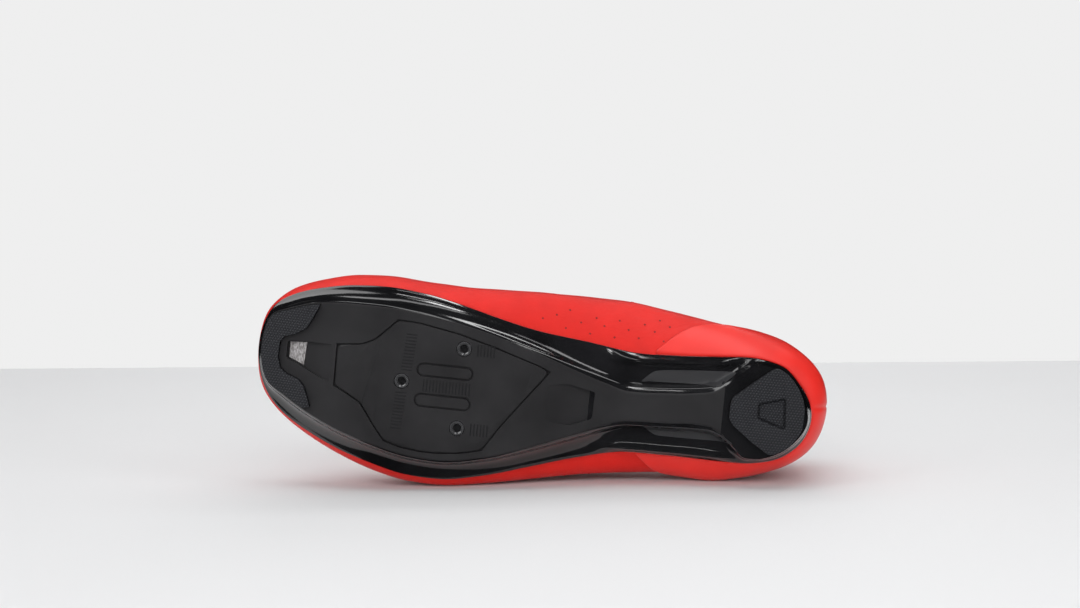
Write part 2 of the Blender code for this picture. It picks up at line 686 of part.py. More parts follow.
def turned_nut(name, collection, material):
    profile = [
        (NUT_RADIUS, NUT_HEIGHT),
        (NUT_BORE_RADIUS, NUT_HEIGHT),
        (NUT_BORE_RADIUS, NUT_CHAMFER),
        (NUT_BORE_RADIUS + NUT_CHAMFER, 0.0),
        (NUT_RADIUS - NUT_CHAMFER, 0.0),
        (NUT_RADIUS, NUT_CHAMFER),
    ]
    shape = bmesh.new()
    points = [shape.verts.new((radius, 0.0, height)) for radius, height in profile]
    for here, following in zip(points, points[1:] + points[:1]):
        shape.edges.new((here, following))
    mesh = bpy.data.meshes.new(name)
    shape.to_mesh(mesh)
    shape.free()
    nut = add_object(name, mesh, collection, material)
    spin = nut.modifiers.new("turned", "SCREW")
    spin.steps = NUT_SIDES
    spin.render_steps = NUT_SIDES
    spin.use_merge_vertices = True
    spin.merge_threshold = 1e-5
    spin.use_normal_flip = True
    return nut


def toe_pad_outline():
    """The inner edge chosen by hand, then round the toe just inside the plate's own edge."""
    inner_edge = on_plate(TOE_PAD_INNER_EDGE)
    ring = round_the_foot(lambda share, side: ring_point("plate", share, side))
    ring = grown(ring, -2 * CLEARANCE)
    toe = len(STATIONS) - 1
    start = inner_edge[0].x + TOE_PAD_JOIN
    finish = inner_edge[-1].x + TOE_PAD_JOIN
    along_inner = [p for p in ring[:toe] if p.x > start]
    along_outer = [p for p in ring[toe:] if p.x > finish]
    return inner_edge[::-1] + along_inner + along_outer


def build_pads(parts, tools, finishes, outsole):
    rubber = finishes["pad_rubber"]
    heel = on_plate(HEEL_PAD_OUTLINE)
    heel_top = lambda x: PLATE_FACE(x) + HEEL_PAD_SUNK
    toe = toe_pad_outline()
    toe_ground = lambda x: PLATE_FACE(x) - TOE_PAD_PROUD
    toe_top = lambda x: PLATE_FACE(x) + TOE_PAD_SUNK
    plans = {
        "heel_pad": (heel, lambda x: HEEL_PAD_GROUND, heel_top),
        "toe_pad": (toe, toe_ground, toe_top),
    }
    made = {}
    for name, (outline, low, high) in plans.items():
        mesh = slab_mesh(name, outline, low, high, PLATE_RUNGS, PAD_CHAMFER)
        made[name] = add_object(name, mesh, parts, rubber)
        pocket = slab_mesh(
            f"{name}_pocket",
            grown(outline, CLEARANCE),
            lambda x: PLATE_FACE(x) - BEYOND,
            lambda x, high=high: high(x) + CLEARANCE,
            PLATE_RUNGS,
        )
        tool = hide_tool(add_object(f"{name}_pocket", pocket, tools))
        cut(outsole, tool, f"{name} pocket")
    hole = slab_mesh(
        "heel_hole",
        on_plate(HEEL_HOLE_OUTLINE),
        lambda x: -BEYOND,
        lambda x: HEEL_PAD_GROUND + HEEL_HOLE_DEPTH,
        [],
    )
    cut(made["heel_pad"], hide_tool(add_object("heel_hole", hole, tools)), "heel hole")


def build_vent(parts, tools, finishes, outsole):
    channel = on_plate(VENT_CHANNEL_OUTLINE)
    window = on_plate(VENT_WINDOW_OUTLINE)
    ramp_end = min(p.x for p in window)
    ramp_start = min(p.x for p in channel)

    def channel_floor(x):
        ramp = min(max((x - ramp_start) / (ramp_end - ramp_start), 0.0), 1.0)
        return PLATE_FACE(x) + VENT_RAMP_LIP + (VENT_DEPTH - VENT_RAMP_LIP) * ramp

    rungs = sorted(PLATE_RUNGS + [ramp_end])
    tool = slab_mesh("vent_channel", channel, lambda x: PLATE_FACE(x) - BEYOND, channel_floor, rungs)
    cut(outsole, hide_tool(add_object("vent_channel", tool, tools)), "vent channel")
    through = slab_mesh(
        "vent_window", window, lambda x: PLATE_FACE(x) - BEYOND, lambda x: rim_height(x) + BEYOND, []
    )
    cut(outsole, hide_tool(add_object("vent_window", through, tools)), "vent window")
    low = lambda x: PLATE_FACE(x) + VENT_DEPTH + CLEARANCE
    mesh = slab_mesh(
        "toe_vent", grown(window, -CLEARANCE), low, lambda x: low(x) + VENT_MESH_THICKNESS, PLATE_RUNGS
    )
    add_object("toe_vent", mesh, parts, finishes["vent_fabric"])


def build_upper(collection, material):
    """Open underneath inside the lasting margin, and open at collar and throat."""
    base = round_the_foot(upper_base)
    flat = [(p.x, p.y) for p in base]
    rings = []
    for inside in (LASTING_MARGIN, BOWL_SLOPE - UPPER_SETBACK):
        ring = grown(flat, -inside)
        depth = inside + UPPER_SETBACK
        rings.append([Vector((p.x, p.y, bowl_height(p.x, depth) + CLEARANCE)) for p in ring])
    rings.append(base)
    for up in SIDE_LEVELS:
        rings.append(round_the_foot(lambda share, side, up=up: upper_skin(share, side, up)))
    upper = add_object("upper", rings_mesh("upper", rings, False), collection, material)
    wall = upper.modifiers.new("wall", "SOLIDIFY")
    wall.thickness = UPPER_WALL
    wall.offset = -1.0
    wall.use_even_offset = True
    return upper


def sheet_mesh(name, rows):
    shape = bmesh.new()
    made = [[shape.verts.new(point) for point in row] for row in rows]
    for lower, upper in zip(made, made[1:]):
        for i in range(len(lower) - 1):
            shape.faces.new((lower[i], lower[i + 1], upper[i + 1], upper[i]))
    return shape


def solid_sheet(name, rows, thickness, outward, collection, material):
    """A sheet with a thickness on the side that the outward direction points to."""
    shape = sheet_mesh(name, rows)
    shape.normal_update()
    turned = sum(
        1 if face.normal.dot(outward(face.calc_center_median())) > 0 else -1 for face in shape.faces
    )
    if turned < 0:
        bmesh.ops.reverse_faces(shape, faces=shape.faces)
    mesh = bpy.data.meshes.new(name)
    shape.to_mesh(mesh)
    shape.free()
    sheet = add_object(name, mesh, collection, material)
    wall = sheet.modifiers.new("wall", "SOLIDIFY")
    wall.thickness = thickness
    wall.offset = 1.0
    wall.use_even_offset = True
    return sheet


def away_from_middle(point):
    """Outwards from the line through the middle of the foot, for a skin wrapped round it."""
    spine = spine_under(point, CORE_ENDS)
    return point - Vector((spine.x, spine.y, CORE_HEIGHT * INSTEP_HEIGHT))


def build_counter(collection, material):
    front = {
        side: smooth_curve([r["up"] for r in COUNTER_FRONT], [r[side] for r in COUNTER_FRONT])
        for side in ("inner", "outer")
    }
    rows = []
    for up in (level for level in SIDE_LEVELS if level <= COUNTER_TOP):
        row = []
        steps = np.linspace(0, 1, COUNTER_COLUMNS)
        for side, parts in (("inner", steps[::-1]), ("outer", steps[1:])):
            for part in parts:
                share = (1 - math.cos(part * turn_angle(front[side](up)))) / 2
                row.append(off_skin(share, side, up, COUNTER_GAP))
        rows.append(row)
    return solid_sheet("heel_counter", rows, COUNTER_WALL, away_from_middle, collection, material)


def build_insole(collection, material):
    rim = round_the_foot(lambda share, side: ring_point("rim", share, side))
    outline = grown(rim, -(UPPER_WALL + INSOLE_INSET))
    low = lambda x: BED_FACE(x) + UPPER_WALL + 2 * CLEARANCE
    mesh = slab_mesh("insole", outline, low, lambda x: low(x) + INSOLE_THICKNESS, RIM_RUNGS)
    return add_object("insole", mesh, collection, material)


def build_tongue(collection, material):
    throat = [row for row in TOP_LINE if row["along"] >= 0.43]
    places = [row["reach"] for row in throat]
    height = smooth_curve(places, [row["height"] for row in throat])
    half = smooth_curve(places, [(row["inner"] + row["outer"]) / 2 for row in throat])
    top_rise = (throat[0]["height"] - throat[1]["height"]) / (places[1] - places[0])
    vamp_fall = SHOULDER_SLOPE * SHOE_LENGTH
    rows = []
    for row in TONGUE_ROWS:
        along = row["along"]
        z = height(along) * INSTEP_HEIGHT
        if along < places[0]:
            z += (places[0] - along) * top_rise * INSTEP_HEIGHT
        if along > places[-1]:
            z -= (along - places[-1]) * vamp_fall
        edge = half(along) * BALL_WIDTH
        middle = TONGUE_MIDDLE * BALL_WIDTH
        line = []
        for across in np.linspace(-1, 1, TONGUE_COLUMNS):
            y = across * row["half"] * BALL_WIDTH
            line.append(Vector((
                along * SHOE_LENGTH,
                middle + y,
                z - TONGUE_SINK + TONGUE_ROUND * (edge * edge - y * y),
            )))
        rows.append(line)
    return solid_sheet(
        "tongue", rows, TONGUE_THICKNESS, lambda point: Vector((0, 0, -1)), collection, material
    )


def strap_point(strap, offset, side, up):
    """A point on the upper's skin under a strap, at a distance from the strap's middle line."""
    end = strap[f"{side}_end"]
    lean = (1.0 - up) / (1.0 - end)
    along = strap["throat"] + (strap["side"] - strap["throat"]) * lean
    x = along * SHOE_LENGTH + offset * STRAP_WIDTH
    return off_skin(share_at(x, side, up), side, up, STRAP_GAP)


def build_straps(collection, material):
    """Each strap is sewn on the inner side, crosses the throat and closes on the outer side."""
    for name, strap in STRAPS.items():
        rows = []
        for offset in np.linspace(-0.5, 0.5, STRAP_RIBS):
            falls = {
                side: [
                    strap_point(strap, offset, side, up)
                    for up in np.linspace(strap[f"{side}_end"], 1.0, STRAP_STEPS)
                ]
                for side in ("outer", "inner")
            }
            near, far = falls["outer"][-1], falls["inner"][-1]
            bridge = []
            for part in np.linspace(0, 1, STRAP_STEPS)[1:-1]:
                rise = STRAP_CROWN * 4 * part * (1 - part)
                bridge.append(near.lerp(far, part) + Vector((0.0, 0.0, rise)))
            rows.append(falls["outer"] + bridge + falls["inner"][::-1])
        solid_sheet(name, rows, STRAP_THICKNESS, away_from_middle, collection, material)


def solid_points(item, graph):
    """World points and triangles of an object as it is drawn."""
    evaluated = item.evaluated_get(graph)
    mesh = evaluated.to_mesh()
    mesh.calc_loop_triangles()
    points = np.array([item.matrix_world @ vert.co for vert in mesh.vertices])
    faces = np.array([list(tri.vertices) for tri in mesh.loop_triangles])
    evaluated.to_mesh_clear()
    return points, faces


def inside_triangle(point, corners, normal):
    """Whether a point of the triangle's plane lies within it."""
    turns = []
    for here, following in zip(corners, corners[1:] + corners[:1]):
        turns.append((following - here).cross(point - here).dot(normal))
    return min(turns) >= 0 or max(turns) <= 0


def lay_down(parts, frame):
    """Turns the empty so that the shoe lies on its outer side, on the floor at height 0."""
    bpy.context.view_layer.update()
    graph = bpy.context.evaluated_depsgraph_get()
    mass = 0.0
    moment = np.zeros(3)
    cloud = []
    for item in parts.objects:
        points, faces = solid_points(item, graph)
        corners = points[faces]
        volumes = np.linalg.det(corners) / 6
        density = FINISHES[item.data.materials[0].name]["density"]
        mass += density * volumes.sum()
        moment += density * (volumes[:, None] * corners.sum(axis=1) / 4).sum(axis=0)
        cloud.append(points)
    balance = Vector(moment / mass)
    cloud = np.concatenate(cloud)

    shape = bmesh.new()
    for point in cloud:
        shape.verts.new(point)
    hull = bmesh.ops.convex_hull(shape, input=shape.verts, use_existing_faces=False)
    resting = None
    for face in (item for item in hull["geom"] if isinstance(item, bmesh.types.BMFace)):
        down = face.normal.copy()
        height = down.dot(face.verts[0].co - balance)
        if height < 0:
            down.negate()
            height = -height
        foot = balance + down * height
        corners = [vert.co for vert in face.verts]
        if down.y < SIDE_FACING and inside_triangle(foot, corners, down):
            if resting is None or down.y < resting.y:
                resting = down
                feet = [[round(1000 * value, 1) for value in corner] for corner in corners]
    shape.free()
    up = -resting
    heelward = Vector((-1.0, 0.0, 0.0))
    heelward = (heelward - up * heelward.dot(up)).normalized()
    soleback = up.cross(heelward)
    turn = Matrix((heelward, soleback, up))
    laid = cloud @ np.array(turn).T
    low = laid.min(axis=0)
    high = laid.max(axis=0)
    shift = Vector((-(low[0] + high[0]) / 2, -(low[1] + high[1]) / 2, -low[2]))
    frame.matrix_world = Matrix.Translation(shift) @ turn.to_4x4()
    print(f"{mass:.3f} kg, balanced at {[round(1000 * value, 1) for value in balance]} mm")
    print(f"lying towards {[round(value, 4) for value in resting]} on {feet} mm")


def build_shoe():
    clear_scene()
    parts = new_collection("cycling_shoe")
    tools = new_collection("cutters")
    finishes = {name: principled(name) for name in FINISHES}
    outsole = build_outsole(parts, finishes["sole_composite"])
    build_plate_parts(parts, tools, finishes, outsole)
    build_pads(parts, tools, finishes, outsole)
    build_vent(parts, tools, finishes, outsole)
    build_upper(parts, finishes["red_microfibre"])
    build_counter(parts, finishes["red_cup"])
    build_insole(parts, finishes["insole_fabric"])
    build_tongue(parts, finishes["tongue_microfibre"])
    build_straps(parts, finishes["strap_microfibre"])

    frame = bpy.data.objects.new("lying_shoe", None)
    bpy.context.scene.collection.objects.link(frame)
    for item in list(parts.objects) + list(tools.objects):
        item.parent = frame
    for item in parts.objects:
        item.data.shade_smooth()
        item.data.set_sharp_from_angle(angle=math.radians(30))
    lay_down(parts, frame)


build_shoe()
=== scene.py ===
import json
import math

import bmesh
import bpy
import numpy as np
from mathutils import Matrix, Vector
from mathutils.bvhtree import BVHTree


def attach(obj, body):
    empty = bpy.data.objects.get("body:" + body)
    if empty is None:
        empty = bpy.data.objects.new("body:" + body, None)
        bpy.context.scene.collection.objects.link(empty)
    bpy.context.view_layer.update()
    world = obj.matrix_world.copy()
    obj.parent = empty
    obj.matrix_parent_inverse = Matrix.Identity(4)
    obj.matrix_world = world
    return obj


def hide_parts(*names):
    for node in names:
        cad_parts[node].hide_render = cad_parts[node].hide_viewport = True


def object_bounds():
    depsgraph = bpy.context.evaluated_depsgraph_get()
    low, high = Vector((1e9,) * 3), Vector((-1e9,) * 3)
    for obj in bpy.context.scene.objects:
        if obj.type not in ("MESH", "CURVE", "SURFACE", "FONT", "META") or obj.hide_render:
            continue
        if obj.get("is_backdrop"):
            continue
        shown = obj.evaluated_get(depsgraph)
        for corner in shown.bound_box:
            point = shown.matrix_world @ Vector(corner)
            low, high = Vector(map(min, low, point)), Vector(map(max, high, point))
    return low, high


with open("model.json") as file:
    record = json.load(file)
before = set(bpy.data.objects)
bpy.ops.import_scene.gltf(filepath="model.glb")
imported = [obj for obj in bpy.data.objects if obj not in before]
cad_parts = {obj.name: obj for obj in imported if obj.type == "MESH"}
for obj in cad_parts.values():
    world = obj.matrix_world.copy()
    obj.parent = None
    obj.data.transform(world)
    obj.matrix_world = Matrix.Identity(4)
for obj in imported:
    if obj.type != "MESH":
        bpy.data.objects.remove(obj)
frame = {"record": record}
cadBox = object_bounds()


# The shoe's own form, in metres: x runs forward from the heel, y to the inner side, z up
last = {
    "length": 0.285, "ball": 0.0995, "heel": 0.0735, "instep": 0.093,
    "arch": 0.010, "spring": 0.016, "depth": 0.0125, "side": 0.015,
    "wall": 0.0020, "setback": 0.0008, "lastingMargin": 0.010, "bowlSlope": 0.0092,
    "rimLip": 0.0018, "clearance": 0.0003,
    "shoulderSlope": 0.32, "sideUpright": 0.68, "shoulderReach": 0.52, "shoulderDeepest": 0.5,
    "shoulderSlope": 0.32, "sideUpright": 0.68, "shoulderReach": 0.52, "shoulderDeepest": 0.5,
    "widestAt": 0.36, "bulgeRound": 0.55, "spineEnds": (0.14, 0.86), "widens": (0.20, 0.70),
}

# back, front, and the middle's place there, as shares of the length and of the width
ringEnds = {
    "upper": (0.004, 1.000, -0.012, 0.016),
    "rim": (0.028, 0.9945, -0.050, 0.028),
    "plate": (0.036, 0.9860, -0.045, 0.035),
}

# along, inner half width, outer half width, as shares of the local width
ringRows = {
    "upper": [
        (0.02, 0.215, 0.250), (0.05, 0.320, 0.370), (0.09, 0.398, 0.452), (0.14, 0.446, 0.516),
        (0.20, 0.486, 0.560), (0.27, 0.515, 0.548), (0.34, 0.528, 0.553), (0.42, 0.500, 0.551),
        (0.50, 0.473, 0.557), (0.58, 0.444, 0.566), (0.65, 0.428, 0.574), (0.71, 0.432, 0.567),
        (0.77, 0.444, 0.535), (0.83, 0.433, 0.482), (0.89, 0.393, 0.408), (0.94, 0.337, 0.324),
        (0.97, 0.272, 0.249), (0.99, 0.192, 0.161),
    ],
    "rim": [
        (0.05, 0.150, 0.262), (0.09, 0.280, 0.363), (0.14, 0.310, 0.398), (0.20, 0.289, 0.403),
        (0.27, 0.260, 0.399), (0.34, 0.241, 0.388), (0.42, 0.261, 0.419), (0.50, 0.276, 0.463),
        (0.58, 0.314, 0.505), (0.65, 0.357, 0.526), (0.71, 0.387, 0.518), (0.77, 0.401, 0.483),
        (0.83, 0.390, 0.436), (0.89, 0.357, 0.367), (0.94, 0.308, 0.288), (0.97, 0.248, 0.203),
    ],
    "plate": [
        (0.050, 0.100, 0.180), (0.070, 0.204, 0.261), (0.090, 0.258, 0.307), (0.115, 0.286, 0.337),
        (0.135, 0.279, 0.340), (0.155, 0.211, 0.279), (0.175, 0.140, 0.207), (0.200, 0.068, 0.152),
        (0.230, 0.041, 0.148), (0.270, 0.021, 0.160), (0.340, 0.004, 0.167), (0.385, 0.046, 0.206),
        (0.420, 0.083, 0.250), (0.500, 0.171, 0.330), (0.580, 0.235, 0.390), (0.650, 0.272, 0.413),
        (0.710, 0.295, 0.402), (0.770, 0.308, 0.367), (0.830, 0.305, 0.321), (0.890, 0.289, 0.254),
        (0.940, 0.245, 0.180), (0.970, 0.207, 0.129),
    ],
}

# along, then shares of arch, spring, depth and side, and the bed's share of the depth
profileRows = [
    (0.00, 0.45, 0.00, 1.00, 1.00, 0.45), (0.14, 0.45, 0.00, 1.04, 1.00, 0.60),
    (0.20, 0.68, 0.00, 0.98, 1.00, 0.78), (0.27, 0.93, 0.00, 0.94, 0.98, 0.78),
    (0.34, 0.98, 0.00, 0.98, 0.94, 0.78), (0.42, 0.70, 0.00, 1.08, 0.88, 0.62),
    (0.50, 0.26, 0.00, 1.13, 0.80, 0.42), (0.58, 0.00, 0.00, 1.04, 0.72, 0.40),
    (0.65, 0.00, 0.00, 0.90, 0.64, 0.43), (0.75, 0.00, 0.00, 0.88, 0.62, 0.43),
    (0.79, 0.00, 0.07, 0.88, 0.62, 0.45), (0.83, 0.00, 0.21, 0.84, 0.62, 0.50),
    (0.89, 0.00, 0.45, 0.78, 0.60, 0.56), (0.94, 0.00, 0.71, 0.66, 0.58, 0.62),
    (0.97, 0.00, 0.85, 0.58, 0.58, 0.70), (1.00, 0.00, 1.00, 0.48, 0.58, 0.80),
]

# share round the foot, reach along the shoe, inner and outer half width, height of the top edge
topRows = [
    (0.00, 0.035, -0.015, 0.015, 1.02), (0.05, 0.057, 0.160, 0.195, 0.99),
    (0.12, 0.120, 0.295, 0.350, 0.86), (0.20, 0.205, 0.345, 0.410, 0.76),
    (0.28, 0.285, 0.335, 0.400, 0.78), (0.36, 0.355, 0.285, 0.325, 0.91),
    (0.43, 0.415, 0.215, 0.240, 1.00), (0.55, 0.500, 0.170, 0.195, 0.91),
    (0.68, 0.585, 0.145, 0.170, 0.80), (0.82, 0.665, 0.115, 0.138, 0.72),
    (0.93, 0.706, 0.062, 0.085, 0.685), (1.00, 0.722, -0.010, 0.010, 0.672),
]

inner, outer = 1.0, -1.0  # the two sides of the foot
stations = 150  # from heel to toe, closer together at both ends
shares = (1 - np.cos(np.linspace(0, math.pi, stations))) / 2
roundShare = np.concatenate([shares, shares[::-1][1:-1]])  # once round, back along the outer side
roundSide = np.concatenate([np.full(stations, inner), np.full(stations - 2, outer)])


def smoothCurve(places, values):
    # a curve through the values that never overshoots them
    x, y = np.asarray(places, float), np.asarray(values, float)
    step = np.diff(x)
    slope = np.diff(y) / step
    lean = np.zeros(len(x))
    lean[0], lean[-1] = slope[0], slope[-1]
    for i in range(1, len(x) - 1):
        if slope[i - 1] * slope[i] > 0:
            a, b = 2 * step[i] + step[i - 1], step[i] + 2 * step[i - 1]
            lean[i] = (a + b) / (a / slope[i - 1] + b / slope[i])

    def read(place):
        place = np.clip(place, x[0], x[-1])
        i = np.clip(np.searchsorted(x, place) - 1, 0, len(step) - 1)
        t = (place - x[i]) / step[i]
        rise = (1 + 2 * t) * (1 - t) ** 2 * y[i] + t * t * (3 - 2 * t) * y[i + 1]
        return rise + step[i] * (t * (1 - t) ** 2 * lean[i] - t * t * (1 - t) * lean[i + 1])

    return read


def smoothStep(low, high, value):
    t = np.clip((value - low) / (high - low), 0.0, 1.0)
    return t * t * (3 - 2 * t)


def columns(rows):
    return [list(values) for values in zip(*rows)]


def localWidth(along):
    return last["heel"] + (last["ball"] - last["heel"]) * smoothStep(*last["widens"], along)


profileColumns = columns(profileRows)
profile = {
    name: smoothCurve(profileColumns[0], profileColumns[i + 1])
    for i, name in enumerate(("arch", "spring", "depth", "side", "bed"))
}


def plateHeight(x):
    along = x / last["length"]
    return last["arch"] * profile["arch"](along) + last["spring"] * profile["spring"](along)


def rimHeight(x):
    return plateHeight(x) + last["depth"] * profile["depth"](x / last["length"])


def bedHeight(x):
    return plateHeight(x) + (rimHeight(x) - plateHeight(x)) * profile["bed"](x / last["length"])


def turnAngle(share):
    return np.arccos(1 - 2 * np.clip(share, 0.0, 1.0))


def ringCurves(name):
    back, front, backY, frontY = ringEnds[name]
    rows = columns(ringRows[name])
    angles = turnAngle((np.array(rows[0]) - back) / (front - back))
    places = [0.0, *angles, math.pi]
    return {
        inner: smoothCurve(places, [backY, *rows[1], frontY]),
        outer: smoothCurve(places, [-backY, *rows[2], -frontY]),
    }


rings = {name: ringCurves(name) for name in ringRows}


def bySide(side, insideValues, outsideValues):
    return np.where(np.asarray(side) > 0, insideValues, outsideValues)


def ringPoint(name, share, side):
    back, front = ringEnds[name][:2]
    along = back + (front - back) * share
    angle = turnAngle(share)
    half = bySide(side, rings[name][inner](angle), rings[name][outer](angle)) * localWidth(along)
    return along * last["length"], half * side


def footRing(name):
    return np.stack(ringPoint(name, roundShare, roundSide), axis=-1)


def upperBase(share, side):
    x, y = ringPoint("rim", share, side)
    low, high = (end * last["length"] for end in last["spineEnds"])
    dx, dy = x - np.clip(x, low, high), y
    reach = np.maximum(np.hypot(dx, dy), 1e-9)
    x, y = x - dx / reach * last["setback"], y - dy / reach * last["setback"]
    return np.stack([x, y, rimHeight(x) + last["clearance"]], axis=-1)


def upperWidest(share, side):
    x, y = ringPoint("upper", share, side)
    z = rimHeight(x) + last["side"] * profile["side"](x / last["length"])
    return np.stack([x, y, z], axis=-1)


topColumns = columns(topRows)
topCurves = [smoothCurve(topColumns[0], values) for values in topColumns[1:]]


def topLine(share, side):
    reach = topCurves[0](share)
    half = bySide(side, topCurves[1](share), topCurves[2](share)) * localWidth(reach)
    return np.stack([reach * last["length"], half * side, topCurves[3](share) * last["instep"]],
                    axis=-1)


def upperSkin(share, side, up):
    # share runs from heel to toe, up from the rim of the sole to the top edge
    share, side, up = np.broadcast_arrays(np.asarray(share, float), side, up)
    base, wide, top = upperBase(share, side), upperWidest(share, side), topLine(share, side)
    turn = np.clip(up / last["widestAt"], 0, 1) * math.pi / 2
    low = base + (wide - base) * np.sin(turn)[..., None]
    bulge = last["bulgeRound"]
    rise = bulge * (1 - np.cos(turn)) + (1 - bulge) * np.clip(up / last["widestAt"], 0, 1)
    low[..., 2] = base[..., 2] + (wide[..., 2] - base[..., 2]) * rise
    t = np.clip((up - last["widestAt"]) / (1 - last["widestAt"]), 0, 1)[..., None]
    inward = wide - top
    inward[..., 2] = 0
    height = top[..., 2] - wide[..., 2]
    upright = wide.copy()
    upright[..., 2] += last["sideUpright"] * height
    shoulder = top + inward * last["shoulderReach"]
    fall = last["shoulderSlope"] * np.linalg.norm(inward, axis=-1) * last["shoulderReach"]
    shoulder[..., 2] -= np.minimum(fall, last["shoulderDeepest"] * height)
    high = wide * (1 - t) ** 3 + upright * 3 * t * (1 - t) ** 2
    high = high + shoulder * 3 * t * t * (1 - t) + top * t**3
    return np.where((up <= last["widestAt"])[..., None], low, high)


def unit(vectors):
    return vectors / np.maximum(np.linalg.norm(vectors, axis=-1, keepdims=True), 1e-12)


def skinNormal(share, side, up, step=0.004):
    share, side, up = np.broadcast_arrays(np.asarray(share, float), side, up)
    ahead = upperSkin(np.minimum(share + step, 1), side, up)
    ahead = ahead - upperSkin(np.maximum(share - step, 0), side, up)
    above = upperSkin(share, side, np.minimum(up + step, 1))
    above = above - upperSkin(share, side, np.maximum(up - step, 0))
    return unit(np.cross(ahead, above)) * -side[..., None]


def skinAt(share, side, up):
    return upperSkin(share, side, up), skinNormal(share, side, up)


def shareAt(x, side, up, halvings=24):
    # the share round the foot at which the skin reaches a given x
    low, high = np.zeros_like(x * 1.0), np.ones_like(x * 1.0)
    for _ in range(halvings):
        middle = (low + high) / 2
        short = upperSkin(middle, side, up)[..., 0] < x
        low, high = np.where(short, middle, low), np.where(short, high, middle)
    return (low + high) / 2


# where the record's two flat faces lie in the shoe's own frame
faceAt = {"heel_rest": (0.03648, 0, 0), "cleat_face": (0.1979, -0.004975, 0)}


def shoeMatrix():
    faces = {mount["name"]: mount for mount in frame["record"]["mounts"]}
    heelAt, ballAt = (Vector(place) for place in faceAt.values())
    up = -Vector(faces["cleat_face"]["axis"]).normalized()
    heel, ball = (Vector(faces[name]["pos_m"]) for name in faceAt)
    along = (ball - heel) - up * (ball - heel).dot(up)
    drift = math.atan2(ballAt.y - heelAt.y, ballAt.x - heelAt.x)
    forward = Matrix.Rotation(-drift, 3, up) @ along.normalized()
    turn = Matrix((forward, up.cross(forward), up)).transposed()
    return Matrix.Translation(heel - turn @ heelAt) @ turn.to_4x4()


shoeToRow = shoeMatrix()

# Making meshes, laid out in the shoe's own frame
placed = []
touching = 1e-6  # points nearer than this are one


def smoothed(piece, crisp):
    # smooth shading, crisp where faces meet at more than so many degrees
    piece.data.shade_smooth()
    piece.data.set_sharp_from_angle(angle=math.radians(crisp))
    return piece


def placePiece(name, mesh, finishNames, replaced=(), crisp=40):
    piece = bpy.data.objects.new(name, mesh)
    bpy.context.scene.collection.objects.link(piece)
    for finishName in finishNames:
        mesh.materials.append(materials[finishName])
    placed.append(piece)
    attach(piece, "root")
    if replaced:
        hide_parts(*replaced)
    return smoothed(piece, crisp)


def meshPiece(name, points, faces, finishNames, slot, replaced=(), crisp=40):
    mesh = bpy.data.meshes.new(name)
    mesh.from_pydata([tuple(p) for p in np.asarray(points, float)], [], [tuple(f) for f in faces])
    mesh.update()
    return placePiece(name, mesh, finishNames, replaced, crisp)


def gridFaces(rows, count, wrap=False, start=0, flip=False):
    quads = []
    for i in range(rows - 1):
        for j in range(count if wrap else count - 1):
            here, beside = start + i * count + j, start + i * count + (j + 1) % count
            quad = [here, beside, beside + count, here + count]
            quads.append(quad[::-1] if flip else quad)
    return quads


def intoMesh(shape, mesh):
    shape.to_mesh(mesh)
    shape.free()
    return mesh


def faceOut(mesh, dissolve=False):
    # doubled points become one and every face looks outwards
    shape = bmesh.new()
    shape.from_mesh(mesh)
    bmesh.ops.remove_doubles(shape, verts=shape.verts, dist=touching)
    if dissolve:
        bmesh.ops.dissolve_degenerate(shape, dist=touching, edges=shape.edges[:])
    bmesh.ops.recalc_face_normals(shape, faces=shape.faces)
    return intoMesh(shape, mesh)


def sheetPair(name, under, over, finishNames, slot, replaced=(), crisp=50):
    # a closed sheet between two grids of points that meet or nearly meet at their edges
    rows, count = under.shape[:2]
    points = np.concatenate([under.reshape(-1, 3), over.reshape(-1, 3)])
    half = rows * count
    faces = gridFaces(rows, count, flip=True) + gridFaces(rows, count, start=half)
    grid = np.arange(half).reshape(rows, count)
    edge = np.concatenate([grid[0], grid[1:, -1], grid[-1, -2::-1], grid[-2:0:-1, 0]]).tolist()
    faces += [[a, b, b + half, a + half] for a, b in zip(edge, edge[1:] + edge[:1])]
    piece = meshPiece(name, points, faces, finishNames, slot, replaced)
    faceOut(piece.data)
    return smoothed(piece, crisp)


def roundedEdge(distance, radius):
    # how much of its thickness a sheet with a round edge has at a distance from that edge
    t = np.clip(distance / radius, 0, 1)
    return np.sqrt(np.clip(1 - (1 - t) ** 2, 0, 1))


def grown(outline, distance):
    points = [Vector(p[:2]) for p in outline]
    count = len(points)
    area = sum(points[i].x * points[(i + 1) % count].y - points[(i + 1) % count].x * points[i].y
               for i in range(count))
    turn = 1 if area > 0 else -1
    moved = []
    for i in range(count):
        before = (points[i] - points[i - 1]).normalized()
        after = (points[(i + 1) % count] - points[i]).normalized()
        normal = Vector((before.y + after.y, -before.x - after.x)).normalized() * turn
        corner = max(math.sqrt(max((1 + before.dot(after)) / 2, 0.0)), 0.5)
        moved.append(points[i] + normal * (distance / corner))
    return moved

def grownRing(points, distance):
    return np.array([p[:] for p in grown(points, distance)])


def roundedOutline(outline, radius, steps=4):
    # the outline with its corners turned into arcs
    points = [Vector(p[:2]) for p in outline]
    arcs = []
    for i, here in enumerate(points):
        before, after = points[i - 1], points[(i + 1) % len(points)]
        toBefore, toAfter = before - here, after - here
        cut = min(radius, toBefore.length * 0.45, toAfter.length * 0.45)
        start, end = here + toBefore.normalized() * cut, here + toAfter.normalized() * cut
        for k in range(steps + 1):
            t = k / steps
            arcs.append(start * (1 - t) ** 2 + here * 2 * t * (1 - t) + end * t * t)
    return arcs


def onPlate(shares):
    return [Vector((along * last["length"], across * last["ball"])) for along, across in shares]


